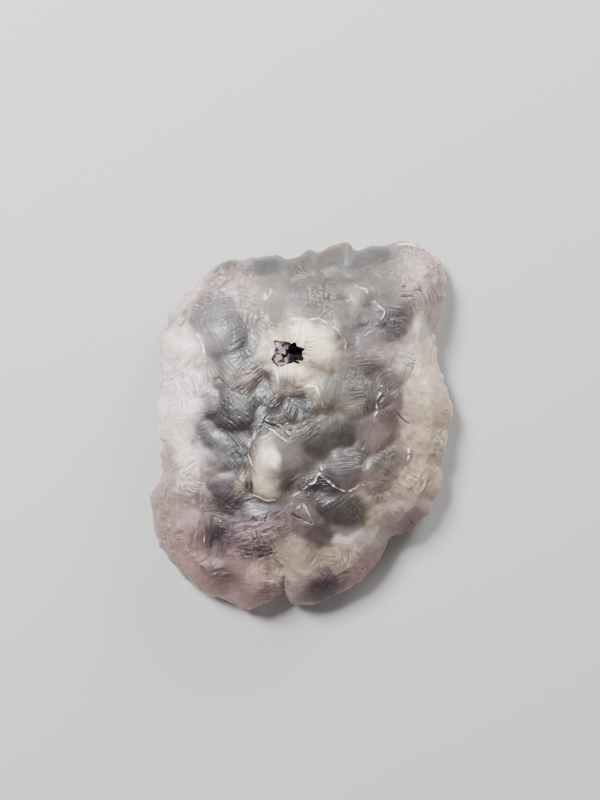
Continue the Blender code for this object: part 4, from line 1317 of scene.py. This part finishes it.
def add_cube(shape, pick, size, middle):
    """Add one small cube, turned at random."""
    turn = Euler(pick.uniform(0, math.pi, 3)).to_matrix()
    for vert in bmesh.ops.create_cube(shape, size=size * MM)["verts"]:
        vert.co = turn @ vert.co + middle


def vug_crystals():
    """The crust in the vug: a thin wall, and small cubes grown on it."""
    pick = np.random.default_rng(CRUST_SEED)
    wall = vug_mesh("vug_crystals", CRUST_GAP, VUG_TOP)
    shape = bmesh.new()
    shape.from_mesh(wall)
    up = Vector((math.sin(CRUST_TILT), 0, math.cos(CRUST_TILT)))
    rim = Vector((*VUG_AT, CRUST_TOP)) * MM
    everything = shape.verts[:] + shape.edges[:] + shape.faces[:]
    bmesh.ops.bisect_plane(shape, geom=everything, plane_co=rim, plane_no=up, clear_outer=True)
    faces = sorted(shape.faces, key=lambda face: face.index)
    inner = [(face.calc_center_median(), face.normal.copy()) for face in faces]
    bmesh.ops.solidify(shape, geom=shape.faces[:], thickness=CRUST_WALL * MM)
    for _ in range(CRUST_CUBES):
        at, normal = inner[pick.integers(len(inner))]
        size = pick.uniform(*CRUST_CUBE_SIZE) * pick.uniform(*CRUST_CUBE_VARIES)
        # Its outermost corner stays inside the crust's outer side
        add_cube(shape, pick, size, at - normal * (CUBE_CORNER * size + CUBE_GAP) * MM)
    # The heap falls away to the right
    for _ in range(HEAP_COUNT):
        u, v = pick.uniform(0, 1, 2)
        x = HEAP_LEFT[0] + u * HEAP_SIZE[0]
        z = HEAP_LEFT[2] - HEAP_FALL * u * HEAP_SIZE[0] - pick.uniform(0, HEAP_LUMPS)
        at = Vector((x, HEAP_LEFT[1] + v * HEAP_SIZE[1], z)) * MM
        add_cube(shape, pick, pick.uniform(*HEAP_CUBE), at)
    shape.to_mesh(wall)
    shape.free()
    wall.materials.append(violet_material())
    return new_object("vug_crystals", wall)


def pale_floor(low):
    """A plain pale floor just under the plate."""
    bpy.ops.mesh.primitive_plane_add(size=FLOOR_SIZE, location=(0, 0, low - FLOOR_GAP))
    floor = bpy.context.object
    floor.name = "floor"
    paint = Graph("floor_paint")
    paint.put(paint.shader, {"Base Color": FLOOR_COLOUR, "Roughness": FLOOR_ROUGHNESS})
    floor.data.materials.append(paint.material)


def studio_light():
    """Soft studio light from the upper left and from behind."""
    for name, (size, power, at) in LAMPS.items():
        lamp = bpy.data.lights.new(name, "AREA")
        lamp.size = size
        lamp.energy = power
        rig = new_object(name, lamp)
        rig.location = at
        rig.rotation_euler = (-Vector(at)).to_track_quat("-Z", "Y").to_euler()
    world = bpy.data.worlds.new("studio")
    bpy.context.scene.world = world
    world.use_nodes = True
    sky = world.node_tree.nodes["Background"]
    sky.inputs["Color"].default_value = SKY_COLOUR
    sky.inputs["Strength"].default_value = SKY_STRENGTH


def photo_camera(low, high):
    """Straight above the plate, where the photograph's framing puts it."""
    camera = bpy.data.cameras.new("photo_camera")
    camera.lens = LENS
    camera.clip_start = CLIP_START
    scale = PIXEL * MM
    middle = (low + high) / 2
    rig = new_object("photo_camera", camera)
    rig.location = (
        middle.x + (PHOTO_MIDDLE[0] - PLATE_IN_PHOTO[0]) * scale,
        middle.y + (PLATE_IN_PHOTO[1] - PHOTO_MIDDLE[1]) * scale,
        RIM_HEIGHT * MM + LENS * PHOTO_LONG_SIDE * scale / camera.sensor_width,
    )
    bpy.context.scene.camera = rig


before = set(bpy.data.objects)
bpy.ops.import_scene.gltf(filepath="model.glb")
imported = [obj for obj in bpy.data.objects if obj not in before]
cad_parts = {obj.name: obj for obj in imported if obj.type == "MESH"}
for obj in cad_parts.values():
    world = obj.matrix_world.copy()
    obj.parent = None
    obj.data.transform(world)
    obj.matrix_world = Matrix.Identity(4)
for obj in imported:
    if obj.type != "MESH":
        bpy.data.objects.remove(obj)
cad_low, cad_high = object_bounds()

plate = etched_plate()
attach(plate, "root")
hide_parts("fluorite")

crust = vug_crystals()
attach(crust, "root")
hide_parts("vug_crust")

pale_floor(cad_low.z)
studio_light()
photo_camera(cad_low, cad_high)
